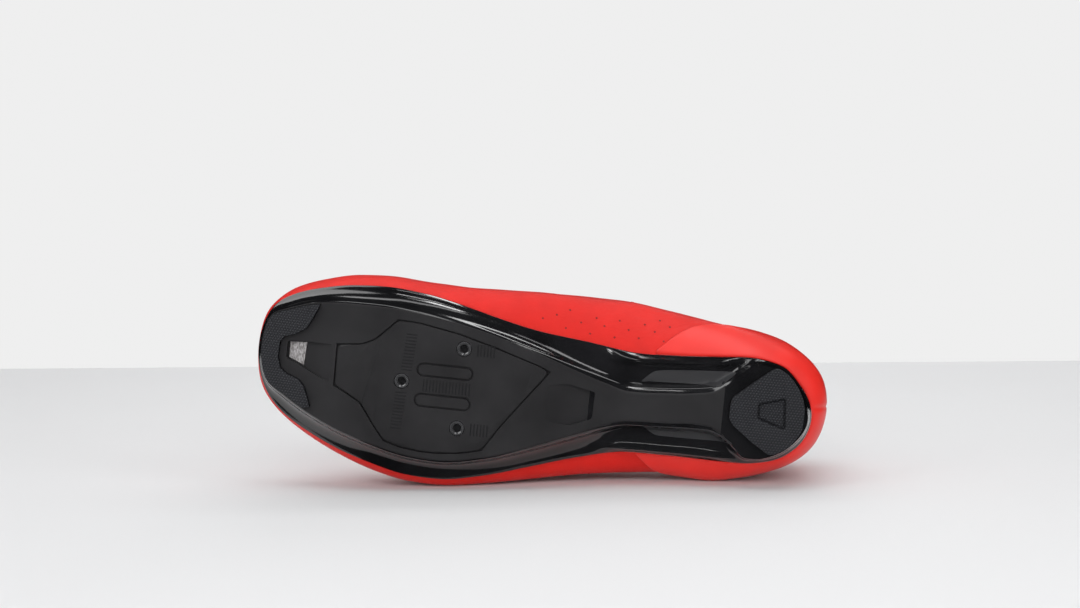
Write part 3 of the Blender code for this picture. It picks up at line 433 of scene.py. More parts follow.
def slab(name, outline, low, high, bevel=0.0, cuts=None, lift=1.0, dissolve=True):
    # a plate of the outline between two surfaces, cut across at places along each axis
    shape = bmesh.new()
    shape.faces.new([shape.verts.new((p[0], p[1], 0.0)) for p in outline])
    shape.normal_update()
    bmesh.ops.triangulate(shape, faces=shape.faces[:], ngon_method="EAR_CLIP")
    for axis, places in enumerate(cuts if cuts is not None else [plateRungs]):
        reach = [p[axis] for p in outline]
        normal = Vector((1 - axis, axis, 0))
        for place in (p for p in places if min(reach) < p < max(reach)):
            bmesh.ops.bisect_plane(shape, geom=shape.verts[:] + shape.edges[:] + shape.faces[:],
                                   dist=touching, plane_co=normal * place, plane_no=normal)
    if dissolve:
        bmesh.ops.dissolve_degenerate(shape, dist=touching, edges=shape.edges[:])
    edge = set()
    if bevel:
        bmesh.ops.inset_region(shape, faces=shape.faces[:], thickness=bevel, use_even_offset=True)
        edge = {vert for vert in shape.verts if vert.is_boundary}
    floor = list(shape.verts)
    raised = bmesh.ops.extrude_face_region(shape, geom=shape.faces[:])["geom"]
    for vert in (item for item in raised if isinstance(item, bmesh.types.BMVert)):
        vert.co.z = high(vert.co)
    for vert in floor:
        vert.co.z = low(vert.co) + (bevel * lift if vert in edge else 0.0)
    bmesh.ops.recalc_face_normals(shape, faces=shape.faces)
    return intoMesh(shape, bpy.data.meshes.new(name))


def applied(piece):
    # the piece with its modifiers made part of its mesh
    graph = bpy.context.evaluated_depsgraph_get()
    piece.data = bpy.data.meshes.new_from_object(piece.evaluated_get(graph))
    piece.modifiers.clear()
    return piece


def cutAll(piece, cutters):
    tools = []
    for number, mesh in enumerate(cutters):
        tool = bpy.data.objects.new(f"{piece.name}_tool{number}", mesh)
        bpy.context.scene.collection.objects.link(tool)
        cut = piece.modifiers.new("cut", "BOOLEAN")
        cut.operation, cut.solver, cut.object = "DIFFERENCE", "MANIFOLD", tool
        tools.append(tool)
    bpy.context.view_layer.update()
    applied(piece)
    for tool in tools:
        bpy.data.objects.remove(tool, do_unlink=True)
    return piece


def sweep(path, across, width, height, sides=10, closed=True):
    # an oval section of half sizes width and height along a path; across points out of the skin
    path, across = np.asarray(path), unit(np.asarray(across))
    if closed:
        along = unit(np.roll(path, -1, axis=0) - np.roll(path, 1, axis=0))
    else:
        along = unit(np.gradient(path, axis=0))
    up = unit(np.cross(along, across))
    out = np.cross(up, along)
    turn = np.linspace(0, 2 * math.pi, sides, endpoint=False)
    count = len(path)
    width, height = (np.broadcast_to(np.asarray(v, float), count)[:, None, None]
                     for v in (width, height))
    section = np.cos(turn)[None, :, None] * out[:, None, :] * width
    section = section + np.sin(turn)[None, :, None] * up[:, None, :] * height
    points = (path[:, None, :] + section).reshape(-1, 3)
    faces = gridFaces(count, sides, wrap=True)
    final = (count - 1) * sides
    if closed:
        faces += [[final + j, final + (j + 1) % sides, (j + 1) % sides, j] for j in range(sides)]
    else:
        faces += [list(range(sides))[::-1], [final + j for j in range(sides)]]
    return points, faces


def joined(parts):
    points, faces, start = [], [], 0
    for somePoints, someFaces in parts:
        points.append(np.asarray(somePoints))
        faces += [[start + i for i in face] for face in someFaces]
        start += len(somePoints)
    return np.concatenate(points), faces


stitch = {"pitch": 0.0026, "length": 0.0019, "radius": 0.00022, "lift": 0.00008}


def stitchRow(path, normals):
    # short threads, one after another, lying on a surface along a path
    path, normals = np.asarray(path), unit(np.asarray(normals))
    run = np.concatenate([[0], np.cumsum(np.linalg.norm(np.diff(path, axis=0), axis=1))])
    arch = np.array([-0.6, 0.7, 1.0, 0.7, -0.6])[:, None] * stitch["radius"]
    thin = np.array([0.6, 1.0, 1.0, 1.0, 0.6]) * stitch["radius"]
    threads = []
    for start in np.arange(stitch["pitch"] / 2, run[-1] - stitch["length"], stitch["pitch"]):
        places = np.interp(np.linspace(start, start + stitch["length"], 5), run,
                           np.arange(len(path)))
        low = np.floor(places).astype(int).clip(0, len(path) - 2)
        part = (places - low)[:, None]
        line = path[low] * (1 - part) + path[low + 1] * part
        out = unit(normals[low] * (1 - part) + normals[low + 1] * part)
        threads.append(sweep(line + out * (arch + stitch["lift"]), out, thin, thin, sides=6,
                             closed=False))
    return threads


# Materials
def newMaterial(name, colour, rough, metallic=0.0, coat=0.0, coatRough=0.1, sheen=0.0, ior=1.5):
    material = bpy.data.materials.new(name)
    material.use_nodes = True
    shader = material.node_tree.nodes["Principled BSDF"]
    shader.inputs["Base Color"].default_value = (*colour, 1.0)
    shader.inputs["Roughness"].default_value = rough
    shader.inputs["Metallic"].default_value = metallic
    shader.inputs["Coat Weight"].default_value = coat
    shader.inputs["Coat Roughness"].default_value = coatRough
    shader.inputs["Sheen Weight"].default_value = sheen
    shader.inputs["Sheen Roughness"].default_value = 0.5
    shader.inputs["IOR"].default_value = ior
    return material, material.node_tree, shader


def addNode(tree, kind, inputs=None, **settings):
    node = tree.nodes.new(kind)
    for key, value in settings.items():
        setattr(node, key, value)
    for key, value in (inputs or {}).items():
        if isinstance(value, bpy.types.NodeSocket):
            tree.links.new(value, node.inputs[key])
        else:
            node.inputs[key].default_value = value
    return node


def shoeVector(tree):
    # places measured in the shoe's own frame, so that patterns lie square to it
    back = shoeToRow.inverted()
    place = addNode(tree, "ShaderNodeTexCoord").outputs["Object"]
    return addNode(tree, "ShaderNodeMapping", {"Vector": place, "Location": back.translation,
                                               "Rotation": back.to_euler()}).outputs[0]


def placeVector(tree, scale=(1, 1, 1), turn=(0, 0, 0)):
    return addNode(tree, "ShaderNodeMapping",
                   {"Vector": shoeVector(tree), "Scale": scale, "Rotation": turn}).outputs[0]


def noise(tree, scale, detail=2.0, rough=0.55, stretch=(1, 1, 1), turn=(0, 0, 0)):
    inputs = {"Vector": placeVector(tree, stretch, turn), "Scale": scale, "Detail": detail,
              "Roughness": rough}
    return addNode(tree, "ShaderNodeTexNoise", inputs).outputs["Fac"]


def wave(tree, scale, ripple=0.0):
    inputs = {"Vector": placeVector(tree), "Scale": scale, "Distortion": ripple, "Detail": 2.0}
    return addNode(tree, "ShaderNodeTexWave", inputs, bands_direction="DIAGONAL").outputs["Fac"]


def ramp(tree, value, low, high, fromValue=0.3, toValue=0.7):
    # a value spread between two numbers
    inputs = {"Value": value, "From Min": fromValue, "From Max": toValue, "To Min": low, "To Max": high}
    return addNode(tree, "ShaderNodeMapRange", inputs).outputs[0]


def tint(tree, value, dark, light, fromValue=0.35, toValue=0.65):
    share = ramp(tree, value, 0.0, 1.0, fromValue, toValue)
    mixed = addNode(tree, "ShaderNodeMix", {"Factor": share}, data_type="RGBA")
    mixed.inputs[6].default_value = (*dark, 1)
    mixed.inputs[7].default_value = (*light, 1)
    return mixed.outputs[2]


def bump(tree, shader, layers):
    # layers of (height, distance in metres, strength), each on top of the one before
    normal = None
    for height, distance, strength in layers:
        inputs = {"Height": height, "Distance": distance, "Strength": strength}
        node = addNode(tree, "ShaderNodeBump", inputs)
        if normal:
            tree.links.new(normal, node.inputs["Normal"])
        normal = node.outputs[0]
    tree.links.new(normal, shader.inputs["Normal"])


def dots(tree, pitch, sharp=(0.18, 0.34)):
    # round dots in staggered rows across the sole
    parts = addNode(tree, "ShaderNodeSeparateXYZ", {"Vector": shoeVector(tree)})
    across = addNode(tree, "ShaderNodeMath", {0: parts.outputs[1], 1: 0.5774}, operation="MULTIPLY")
    slid = addNode(tree, "ShaderNodeMath", {0: parts.outputs[0], 1: across.outputs[0]},
                   operation="ADD")
    tall = addNode(tree, "ShaderNodeMath", {0: parts.outputs[1], 1: 1.1547}, operation="MULTIPLY")
    place = addNode(tree, "ShaderNodeCombineXYZ", {"X": slid.outputs[0], "Y": tall.outputs[0]})
    cells = addNode(tree, "ShaderNodeTexVoronoi", {"Vector": place.outputs[0], "Scale": 1 / pitch,
                                                   "Randomness": 0.0}, voronoi_dimensions="2D")
    return ramp(tree, cells.outputs["Distance"], 1.0, 0.0, *sharp)


# Each finish: its patterns, then which of them tints it (dark to light), roughens it (low to high)
# and raises it (height in metres and strength, one layer on another)
finishes = {
    "redMicrofibre": {
        "colour": (0.585, 0.0120, 0.0074), "rough": 0.58, "gloss": {"sheen": 0.01, "ior": 1.36},
        "noise": {"broad": (60, 3.0), "nap": (520, 3.0, 0.55, (1, 2.2, 1)), "grain": (1900,),
                  "creases": (150, 4.0, 0.65, (0.45, 1.0, 1.4), (0.0, 0.0, 0.3))},
        "tint": ("broad", (0.53, 0.0106, 0.0064), (0.585, 0.0120, 0.0074)),
        "roughen": ("nap", 0.46, 0.60),
        "raise": [("creases", 0.0009, 0.35), ("nap", 0.00012, 0.6), ("grain", 0.00005, 0.6)],
    },
    "redCup": {
        "colour": (0.68, 0.021, 0.0145), "rough": 0.40,
        "gloss": {"coat": 0.06, "coatRough": 0.35, "ior": 1.45},
        "noise": {"broad": (45,), "grain": (2400,)},
        "tint": ("broad", (0.62, 0.0175, 0.012), (0.68, 0.021, 0.0145)),
        "roughen": ("grain", 0.36, 0.44),
        "raise": [("grain", 0.00003, 0.4)],
    },
    "plateMatte": {
        "colour": (0.0145, 0.0140, 0.0150), "rough": 0.55, "gloss": {"ior": 1.36},
        "noise": {"broad": (35, 3.0), "grain": (3200,)},
        "tint": ("broad", (0.0145, 0.0140, 0.0150), (0.0200, 0.0195, 0.0208)),
        "roughen": ("grain", 0.50, 0.62), "raise": [("grain", 0.00003, 0.7)],
    },
    "soleGloss": {
        "colour": (0.004, 0.004, 0.0045), "rough": 0.13, "gloss": {"coat": 0.5, "coatRough": 0.06},
        "noise": {"broad": (28,), "fine": (900,)},
        "tint": ("broad", (0.004, 0.004, 0.0045), (0.009, 0.009, 0.010)),
        "roughen": ("fine", 0.10, 0.17),
        "raise": [("fine", 0.00001, 0.25)],
    },
    "panelMatte": {
        "colour": (0.030, 0.030, 0.032), "rough": 0.48, "gloss": {"ior": 1.4},
        "noise": {"grain": (3000,)},
        "roughen": ("grain", 0.38, 0.48), "raise": [("grain", 0.00002, 0.6)],
    },
    "scaleInk": {
        "colour": (0.0120, 0.0120, 0.0130), "rough": 0.5, "gloss": {"ior": 1.3},
        "noise": {"grain": (2500,)},
        "roughen": ("grain", 0.45, 0.55),
    },
    "padRubber": {
        "colour": (0.014, 0.0145, 0.017), "rough": 0.62, "gloss": {"ior": 1.38},
        "noise": {"grain": (2600,)}, "dots": {"studs": (0.00145,)},
        # the studs are painted lighter than the gaps between them: painted light on their tops and
        # painted shade between them
        "tint": ("studs", (0.014, 0.0145, 0.017), (0.040, 0.041, 0.046)),
        "roughen": ("grain", 0.56, 0.70),
        "raise": [("studs", 0.00030, 1.0), ("grain", 0.00003, 0.5)],
    },
    "padRim": {
        "colour": (0.036, 0.036, 0.040), "rough": 0.40, "noise": {"grain": (2600,)},
        "roughen": ("grain", 0.42, 0.52), "raise": [("grain", 0.00002, 0.4)],
    },
    "nutBlack": {
        "colour": (0.055, 0.055, 0.058), "rough": 0.22, "gloss": {"metallic": 0.3, "coat": 0.6},
        "noise": {"turned": (1500, 2.0, 0.55, (1, 1, 0.1))},
        "roughen": ("turned", 0.16, 0.30), "raise": [("turned", 0.00002, 0.4)],
    },
    "ventCloth": {
        "colour": (0.37, 0.36, 0.36), "rough": 0.8, "gloss": {"sheen": 0.2},
        "noise": {"weave": (640, 3.0, 0.55, (2.5, 1, 1))},
        "tint": ("weave", (0.11, 0.10, 0.10), (0.37, 0.36, 0.36)),
        "raise": [("weave", 0.0001, 0.6)],
    },
    "liningMesh": {
        "colour": (0.030, 0.030, 0.033), "rough": 0.85, "gloss": {"sheen": 0.25},
        "noise": {"fibre": (2600, 3.0)}, "dots": {"holes": (0.0017, (0.20, 0.40))},
        # the mesh's openings are painted darker: painted shade inside them
        "tint": ("holes", (0.030, 0.030, 0.033), (0.012, 0.012, 0.013)),
        "raise": [("fibre", 0.00008, 0.6), ("holes", 0.0002, -0.7)],
    },
    "collarKnit": {
        "colour": (0.022, 0.022, 0.024), "rough": 0.8, "gloss": {"sheen": 0.35},
        "noise": {"fibre": (2200, 3.0)}, "wave": {"rib": (380.0, 1.5)},
        "tint": ("fibre", (0.016, 0.016, 0.018), (0.034, 0.034, 0.037)),
        "raise": [("rib", 0.00012, 0.5), ("fibre", 0.00006, 0.6)],
    },
    "insoleTop": {
        "colour": (0.035, 0.035, 0.038), "rough": 0.9, "gloss": {"sheen": 0.3},
        "noise": {"fibre": (2400, 3.0)}, "dots": {"weave": (0.0011, (0.15, 0.45))},
        "tint": ("fibre", (0.022, 0.022, 0.024), (0.050, 0.050, 0.054)),
        "raise": [("weave", 0.00010, 0.5), ("fibre", 0.00006, 0.5)],
    },
    "tongueRed": {
        "colour": (0.58, 0.016, 0.011), "rough": 0.6, "gloss": {"sheen": 0.1},
        "noise": {"grain": (1900,)}, "dots": {"holes": (0.0042, (0.12, 0.17))},
        # the perforations are painted near black: painted shade inside the holes, with a bump that
        # dents them
        "tint": ("holes", (0.58, 0.016, 0.011), (0.06, 0.004, 0.003)),
        "roughen": ("grain", 0.54, 0.68),
        "raise": [("grain", 0.00005, 0.6), ("holes", 0.0004, -0.8)],
    },
    "strapRed": {
        "colour": (0.66, 0.018, 0.012), "rough": 0.48, "gloss": {"sheen": 0.05, "ior": 1.42},
        "noise": {"grain": (1900,), "broad": (70, 3.0)},
        "tint": ("broad", (0.61, 0.016, 0.011), (0.68, 0.019, 0.0125)),
        "roughen": ("grain", 0.42, 0.56),
        "raise": [("grain", 0.00005, 0.6)],
    },
    "threadRed": {
        "colour": (0.40, 0.011, 0.009), "rough": 0.5, "gloss": {"sheen": 0.2},
        "wave": {"twist": (900.0,)},
        "roughen": ("twist", 0.42, 0.6), "raise": [("twist", 0.00005, 0.5)],
    },
    # painted shade: the dark colour of the discs that stand in for the perforations
    "holeDark": {
        "colour": (0.16, 0.010, 0.008), "rough": 0.8, "noise": {"broad": (900, 3.0)},
        "tint": ("broad", (0.10, 0.006, 0.005), (0.20, 0.012, 0.010)),
    },
}


def buildFinish(name, look):
    material, tree, shader = newMaterial(name, look["colour"], look["rough"],
                                         **look.get("gloss", {}))
    patterns = {}
    for kind, draw in (("noise", noise), ("dots", dots), ("wave", wave)):
        for key, values in look.get(kind, {}).items():
            patterns[key] = draw(tree, *values)
    if "tint" in look:
        key, dark, light = look["tint"]
        span = (0, 1) if key in look.get("dots", {}) else (0.35, 0.65)
        tree.links.new(tint(tree, patterns[key], dark, light, *span), shader.inputs["Base Color"])
    if "roughen" in look:
        key, low, high = look["roughen"]
        tree.links.new(ramp(tree, patterns[key], low, high), shader.inputs["Roughness"])
    if "raise" in look:
        bump(tree, shader, [(patterns[key], *rest) for key, *rest in look["raise"]])
    return material


materials = {name: buildFinish(name, look) for name, look in finishes.items()}
print("materials made:", len(materials))


# The sole plate
sole = {
    "plateColumns": 26, "bedColumns": 12, "flankRows": 30,
    # across, drop, and both again at the waist, from the plate's edge (0) to the rim (1)
    "flank": [
        (0.00, 0.00, 0.00, 0.00), (0.12, 0.10, 0.17, 0.14), (0.30, 0.42, 0.29, 0.60),
        (0.52, 0.64, 0.65, 0.60), (0.74, 0.76, 0.85, 0.34), (0.92, 0.82, 0.94, 0.58),
        (1.00, 0.86, 1.00, 0.86),
    ],
    "waist": (0.145, 0.200, 0.330, 0.405),  # begins, full from, full to, ends
    "lip": [(0.55, 0.0), (0.12, 0.0), (0.0, 0.00018)],  # share left of the lip, and pull inwards
    # matte forward of matteFrom, on so many rows of the flank, with one row beside the narrow part
    "matteFrom": 0.0505, "matteRows": {inner: 1, outer: 2}, "narrow": (0.055, 0.105),
    "insideRows": 6,
    "crisp": 32,
}

outlines = {
    "cleatPlate": [
        (0.848, 0.102), (0.804, 0.118), (0.782, 0.148), (0.763, 0.201), (0.745, 0.256),
        (0.709, 0.252), (0.639, 0.218), (0.569, 0.164), (0.499, 0.099), (0.479, 0.073),
        (0.496, 0.007), (0.526, -0.105), (0.556, -0.223), (0.583, -0.343), (0.620, -0.368),
        (0.654, -0.379), (0.689, -0.380), (0.724, -0.368), (0.752, -0.345), (0.770, -0.283),
        (0.790, -0.206), (0.800, -0.170), (0.828, -0.130), (0.848, -0.104),
    ],
    "heelPad": [
        (0.169, 0.010), (0.166, 0.042), (0.137, 0.117), (0.103, 0.198), (0.093, 0.203),
        (0.084, 0.191), (0.075, 0.174), (0.066, 0.148), (0.056, 0.112), (0.049, 0.074),
        (0.044, 0.022), (0.044, -0.028), (0.045, -0.077), (0.052, -0.123), (0.062, -0.160),
        (0.073, -0.188), (0.086, -0.212), (0.098, -0.215), (0.130, -0.157), (0.162, -0.088),
        (0.169, -0.058),
    ],
    "heelHole": [(0.1215, 0.026), (0.079, 0.064), (0.075, -0.082), (0.1205, -0.042)],
    "toePadEdge": [
        (0.884, 0.285), (0.887, 0.262), (0.897, 0.200), (0.905, 0.160), (0.924, 0.126),
        (0.944, 0.105), (0.951, 0.080), (0.953, 0.002), (0.947, -0.055), (0.934, -0.080),
        (0.913, -0.098), (0.902, -0.125), (0.895, -0.170), (0.888, -0.225),
    ],
    "ventChannel": [
        (0.856, 0.095), (0.905, 0.095), (0.938, 0.084), (0.939, -0.004), (0.920, -0.022),
        (0.905, -0.038), (0.870, -0.080), (0.856, -0.084),
    ],
    "ventWindow": [(0.936, 0.080), (0.903, 0.090), (0.906, -0.032), (0.920, -0.018),
                   (0.936, -0.001)],
    "chevron": [
        (0.4446, 0.020), (0.3986, -0.010), (0.4011, -0.141), (0.4379, -0.182), (0.4800, -0.170),
        (0.4800, 0.010),
    ],
    "recessInner": [
        (0.325, 0.056), (0.309, 0.102), (0.301, 0.117), (0.285, 0.126), (0.226, 0.143),
        (0.162, 0.158), (0.190, 0.081), (0.308, 0.062),
    ],
    "recessOuter": [
        (0.314, -0.153), (0.303, -0.183), (0.290, -0.202), (0.247, -0.200), (0.156, -0.189),
        (0.181, -0.148), (0.199, -0.133), (0.233, -0.136), (0.283, -0.146),
    ],
}
beyond = 0.004  # how far a cutter reaches past what it cuts
plateRungs = [float(ringPoint("plate", share, inner)[0]) for share in shares[::3]]


def rounded(name, radius, steps=4):
    return roundedOutline(onPlate(outlines[name]), radius, steps)


def above(rise):
    # a surface at a height over the plate's face
    return lambda p: float(plateHeight(p.x)) + rise


def level(height):
    return lambda p: height


underPlate = above(-beyond)


def soleFlank():
    # rows of points from the plate's edge up the side, over the lip and into the bed
    knots = np.linspace(0, 1, len(sole["flank"]))
    curves = [smoothCurve(knots, values) for values in columns(sole["flank"])]
    plate, rim = footRing("plate"), footRing("rim")
    along = plate[:, 0] / last["length"]
    begin, fullFrom, fullTo, end = sole["waist"]
    waist = smoothStep(begin, fullFrom, along) * (1 - smoothStep(fullTo, end, along))
    rows = []
    for up in np.linspace(0, 1, sole["flankRows"]):
        across, drop = (curves[i](up) * (1 - waist) + curves[i + 2](up) * waist for i in (0, 1))
        ring = plate + (rim - plate) * across[:, None]
        low = plateHeight(ring[:, 0])
        rows.append(np.column_stack([ring, low + drop * (rimHeight(ring[:, 0]) - low)]))
    for below, pull in sole["lip"]:
        ring = grownRing(rim, -pull) if pull else rim
        rows.append(np.column_stack([ring, rimHeight(ring[:, 0]) - last["rimLip"] * below]))
    bowl = grownRing(rim, -last["bowlSlope"])
    rows.append(np.column_stack([bowl, bedHeight(bowl[:, 0])]))
    return np.array(rows)


def closeAcross(ring, count):
    # columns across from the inner to the outer side of a ring, station by station
    front = ring[:stations]
    back = np.concatenate([ring[:1], ring[stations:][::-1], ring[stations - 1:stations]])
    t = np.linspace(0, 1, count)[None, :, None]
    return front[:, None, :] * (1 - t) + back[:, None, :] * t


def buildSole():
    flank = soleFlank()
    rows, count = flank.shape[:2]
    plateau = closeAcross(flank[0], sole["plateColumns"])
    bed = closeAcross(flank[-1], sole["bedColumns"])
    plateau[..., 2], bed[..., 2] = plateHeight(plateau[..., 0]), bedHeight(bed[..., 0])
    points, faces = joined([(grid.reshape(-1, 3), gridFaces(*grid.shape[:2], wrap=grid is flank))
                            for grid in (flank, plateau, bed)])
    piece = meshPiece("outsole_shell", points, faces, ["plateMatte", "soleGloss"], "sole_composite",
                      ["outsole"])
    for number, face in enumerate(piece.data.polygons):
        x, y, _ = face.center
        narrow = sole["narrow"][0] < x < sole["narrow"][1]
        matteRows = 1 if narrow else sole["matteRows"][inner if y > 0 else outer]
        gloss = matteRows <= number // count <= rows - sole["insideRows"]
        face.material_index = 1 if gloss or x <= sole["matteFrom"] else 0
    faceOut(piece.data, dissolve=True)
    return piece


cleatPlate = {"thick": 0.0018, "groove": 0.00045, "edge": 0.0004, "corner": 0.0022, "crisp": 25}
pads = {
    "heelSunk": 0.0012, "toeProud": 0.0022, "toeSunk": 0.0010, "edge": 0.0010, "corner": 0.0012,
    "toeMargin": 0.0006, "toeOverlap": 0.002,
    "holeDepth": 0.0012, "holeGroove": 0.0006, "grooveDepth": 0.0026,
}
bolts = {
    "radius": 0.0036, "bore": 0.0021, "height": 0.0040, "chamfer": 0.0006, "gap": 0.0002,
    "pocket": 0.006,
    "front": (0.730 * last["length"], -0.042 * last["ball"]),
    "middle": -0.050 * last["ball"], "spread": 0.039, "reach": 0.029,
}
boltPlaces = {
    "cleat_nut_front": bolts["front"],
    "cleat_nut_medial": (bolts["front"][0] - bolts["reach"], bolts["middle"] + bolts["spread"] / 2),
    "cleat_nut_lateral": (bolts["front"][0] - bolts["reach"],
                          bolts["middle"] - bolts["spread"] / 2),
}


def toePadOutline(inset):
    edge = onPlate(outlines["toePadEdge"])
    ring = grown(footRing("plate"), -pads["toeMargin"])
    toe = stations - 1
    start, end = (edge[i].x + pads["toeOverlap"] for i in (0, -1))
    front = [p for p in ring[:toe] if p.x > start] + [p for p in ring[toe:] if p.x > end]
    return grown(edge[::-1] + front, inset)


def circle(place, radius, steps=40):
    return [Vector((place[0] + radius * math.cos(t), place[1] + radius * math.sin(t)))
            for t in np.linspace(0, 2 * math.pi, steps, endpoint=False)]


def boltPockets():
    return [slab(name, circle(place, bolts["radius"] + bolts["gap"]), level(-beyond),
                 level(bolts["pocket"]), cuts=[])
            for name, place in boltPlaces.items()]


# a hollow with a steep rear edge that runs out forwards; the rear edge wears the sole's black gloss as
# painted shade
chevron = {"depth": 0.0021, "rear": 0.1136, "foot": 0.1166, "front": 0.1368, "corner": 0.0016,
           "rungs": [0.1144, 0.1166, 0.1178], "shadeAcross": (-0.019, 0.003),
           "shadeHeight": (0.0003, 0.0030)}
# the channel falls from the cleat plate to the vent
ventSlope = {"begin": 0.244, "run": 0.0134, "shallow": 0.0002, "fall": 0.0024, "corner": 0.0015}


def chevronTop(p):
    rise = (chevron["front"] - p.x) / (chevron["front"] - chevron["foot"])
    fall = (p.x - chevron["rear"]) / (chevron["foot"] - chevron["rear"])
    return float(plateHeight(p.x)) + chevron["depth"] * max(0.0, min(1.0, rise, fall))


def ventFloor(p):
    share = min(max((p.x - ventSlope["begin"]) / ventSlope["run"], 0.0), 1.0)
    return float(plateHeight(p.x)) + ventSlope["shallow"] + ventSlope["fall"] * share


gap = last["clearance"]
soleShell = buildSole()
cutAll(soleShell, [
    slab("cleatPocket", grown(onPlate(outlines["cleatPlate"]), gap), underPlate,
         above(cleatPlate["thick"] + gap)),
    slab("heelPocket", grown(rounded("heelPad", pads["corner"]), gap), underPlate,
         above(pads["heelSunk"] + gap)),
    slab("toePocket", toePadOutline(gap), underPlate, above(pads["toeSunk"] + gap)),
    slab("ventChannel", rounded("ventChannel", ventSlope["corner"]), underPlate, ventFloor),
    slab("ventWindow", rounded("ventWindow", 0.0008), underPlate,
         lambda p: float(rimHeight(p.x)) + beyond),
    slab("chevronHollow", rounded("chevron", chevron["corner"]), underPlate, chevronTop,
         cuts=[plateRungs + chevron["rungs"]]),
] + boltPockets())
# the hollow's rear wall takes the near-black gloss finish: painted shade on that wall
for face in soleShell.data.polygons:
    x, y, z = face.center
    across, up = chevron["shadeAcross"], chevron["shadeHeight"]
    if (chevron["rear"] < x < chevron["foot"] and across[0] < y < across[1]
            and up[0] < z - plateHeight(x) < up[1]):
        face.material_index = 1
smoothed(soleShell, sole["crisp"])
print("sole shell:", len(soleShell.data.polygons), "faces")


def treeOf(piece):
    return BVHTree.FromPolygons([v.co.copy() for v in piece.data.vertices],
                                [tuple(p.vertices) for p in piece.data.polygons])


soleTree = treeOf(soleShell)
panel = {"proud": 0.0004, "thick": 0.0009, "corner": 0.0015, "inset": 0.0004, "lift": 0.7,
         "cutsAlong": (0.045, 0.094), "cutsAcross": (-0.022, 0.017), "pitch": 0.0015, "from": -0.02}


def recessFloor(rise):
    # a surface at a height over the recess, as it is met from below
    def read(p):
        hit = soleTree.ray_cast(Vector((p.x, p.y, panel["from"])), Vector((0, 0, 1)))[0]
        return (hit.z if hit else float(plateHeight(p.x))) + rise
    return read


for name, outline in (("recess_panel_inner", "recessInner"), ("recess_panel_outer", "recessOuter")):
    # a thin matte panel on the floor of each waist recess
    cuts = [np.arange(*panel[span], panel["pitch"]) for span in ("cutsAlong", "cutsAcross")]
    mesh = slab(name, rounded(outline, panel["corner"]), recessFloor(-panel["proud"]),
                recessFloor(panel["thick"] - panel["proud"]), panel["inset"], cuts,
                panel["lift"], dissolve=False)
    placePiece(name, mesh, ["panelMatte"])

slots = {"middles": [(0.657, 0.026), (0.657, -0.124)], "length": 0.028, "width": 0.007,
         "groove": 0.0010, "depth": 0.0013, "steps": 32}


def slotOutline(middle, shrink):
    x, y = middle[0] * last["length"], middle[1] * last["ball"]
    radius = slots["width"] / 2 - shrink
    half = (slots["length"] - slots["width"]) / 2
    return [Vector((x + (half if math.cos(t) >= 0 else -half) + radius * math.cos(t),
                    y + radius * math.sin(t)))
            for t in (math.tau * (k + 0.5) / slots["steps"] for k in range(slots["steps"]))]


def ringGroove(name, outside, inside, low, high):
    # a closed ring between two outlines, for cutting a groove
    count = len(outside)
    points = [(p.x, p.y, height) for loop in (outside, inside) for height in (low, high)
              for p in loop]
    faces = []
    for j in range(count):
        k = (j + 1) % count
        for a, b in ((0, 1), (1, 3), (3, 2), (2, 0)):
            faces.append((a * count + j, a * count + k, b * count + k, b * count + j))
    mesh = bpy.data.meshes.new(name)
    mesh.from_pydata(points, [], faces)
    return faceOut(mesh)


def buildCleatPlate():
    shape = roundedOutline(grown(onPlate(outlines["cleatPlate"]), -cleatPlate["groove"]),
                           cleatPlate["corner"], 3)
    mesh = slab("cleat_panel", shape, above(0.0), above(cleatPlate["thick"]), cleatPlate["edge"])
    piece = placePiece("cleat_panel", mesh, ["plateMatte"], ["cleat_plate"])
    grooves = [ringGroove("slot", slotOutline(middle, 0.0), slotOutline(middle, slots["groove"]),
                          -beyond, slots["depth"]) for middle in slots["middles"]]
    cutAll(piece, grooves + boltPockets())
    smoothed(piece, cleatPlate["crisp"])


buildCleatPlate()

thread = {"pitch": 0.0008, "deep": 0.00028, "flat": (0.00012, 0.00040, 0.00046), "end": 0.0004}


def buildNut(name, place):
    # a turned ring with a countersunk mouth and a threaded bore
    r, bore, height, chamfer = (bolts[key] for key in ("radius", "bore", "height", "chamfer"))
    line = [(r, height), (r, chamfer * 0.6), (r - chamfer * 0.2, chamfer * 0.18),
            (r - chamfer * 0.6, 0.0), (bore + chamfer * 1.1, 0.0),
            (bore + chamfer * 0.9, chamfer * 0.12)]
    z, root, flat = chamfer, bore + thread["deep"], thread["flat"]
    while z < height - thread["end"]:
        line += [(bore, z), (bore, z + flat[0]), (root, z + flat[1]), (root, z + flat[2])]
        z += thread["pitch"]
    line += [(bore, height)]
    turn = np.linspace(0, 2 * math.pi, 48, endpoint=False)
    points = [(place[0] + radius * math.cos(t), place[1] + radius * math.sin(t), h)
              for radius, h in line for t in turn]
    faces = gridFaces(len(line), len(turn), wrap=True)
    end = (len(line) - 1) * len(turn)
    faces += [[end + j, end + (j + 1) % len(turn), (j + 1) % len(turn), j]
              for j in range(len(turn))]
    piece = meshPiece(f"{name}_turned", points, faces, ["nutBlack"], "nut_metal", [name], 30)
    faceOut(piece.data)
    smoothed(piece, 30)


for name, place in boltPlaces.items():
    buildNut(name, place)


def rimmedPad(name, node, outline, low, high, cutters=()):
    # a block of rubber with a smooth rounded rim
    piece = placePiece(name, slab(name, outline, low, high), ["padRubber", "padRim"],
                       [node])
    if cutters:
        cutAll(piece, cutters)
    soften = piece.modifiers.new("soften", "BEVEL")
    soften.width, soften.segments, soften.material = pads["edge"], 3, 1
    soften.limit_method, soften.angle_limit = "ANGLE", math.radians(40)
    soften.harden_normals = False
    smoothed(applied(piece), 50)


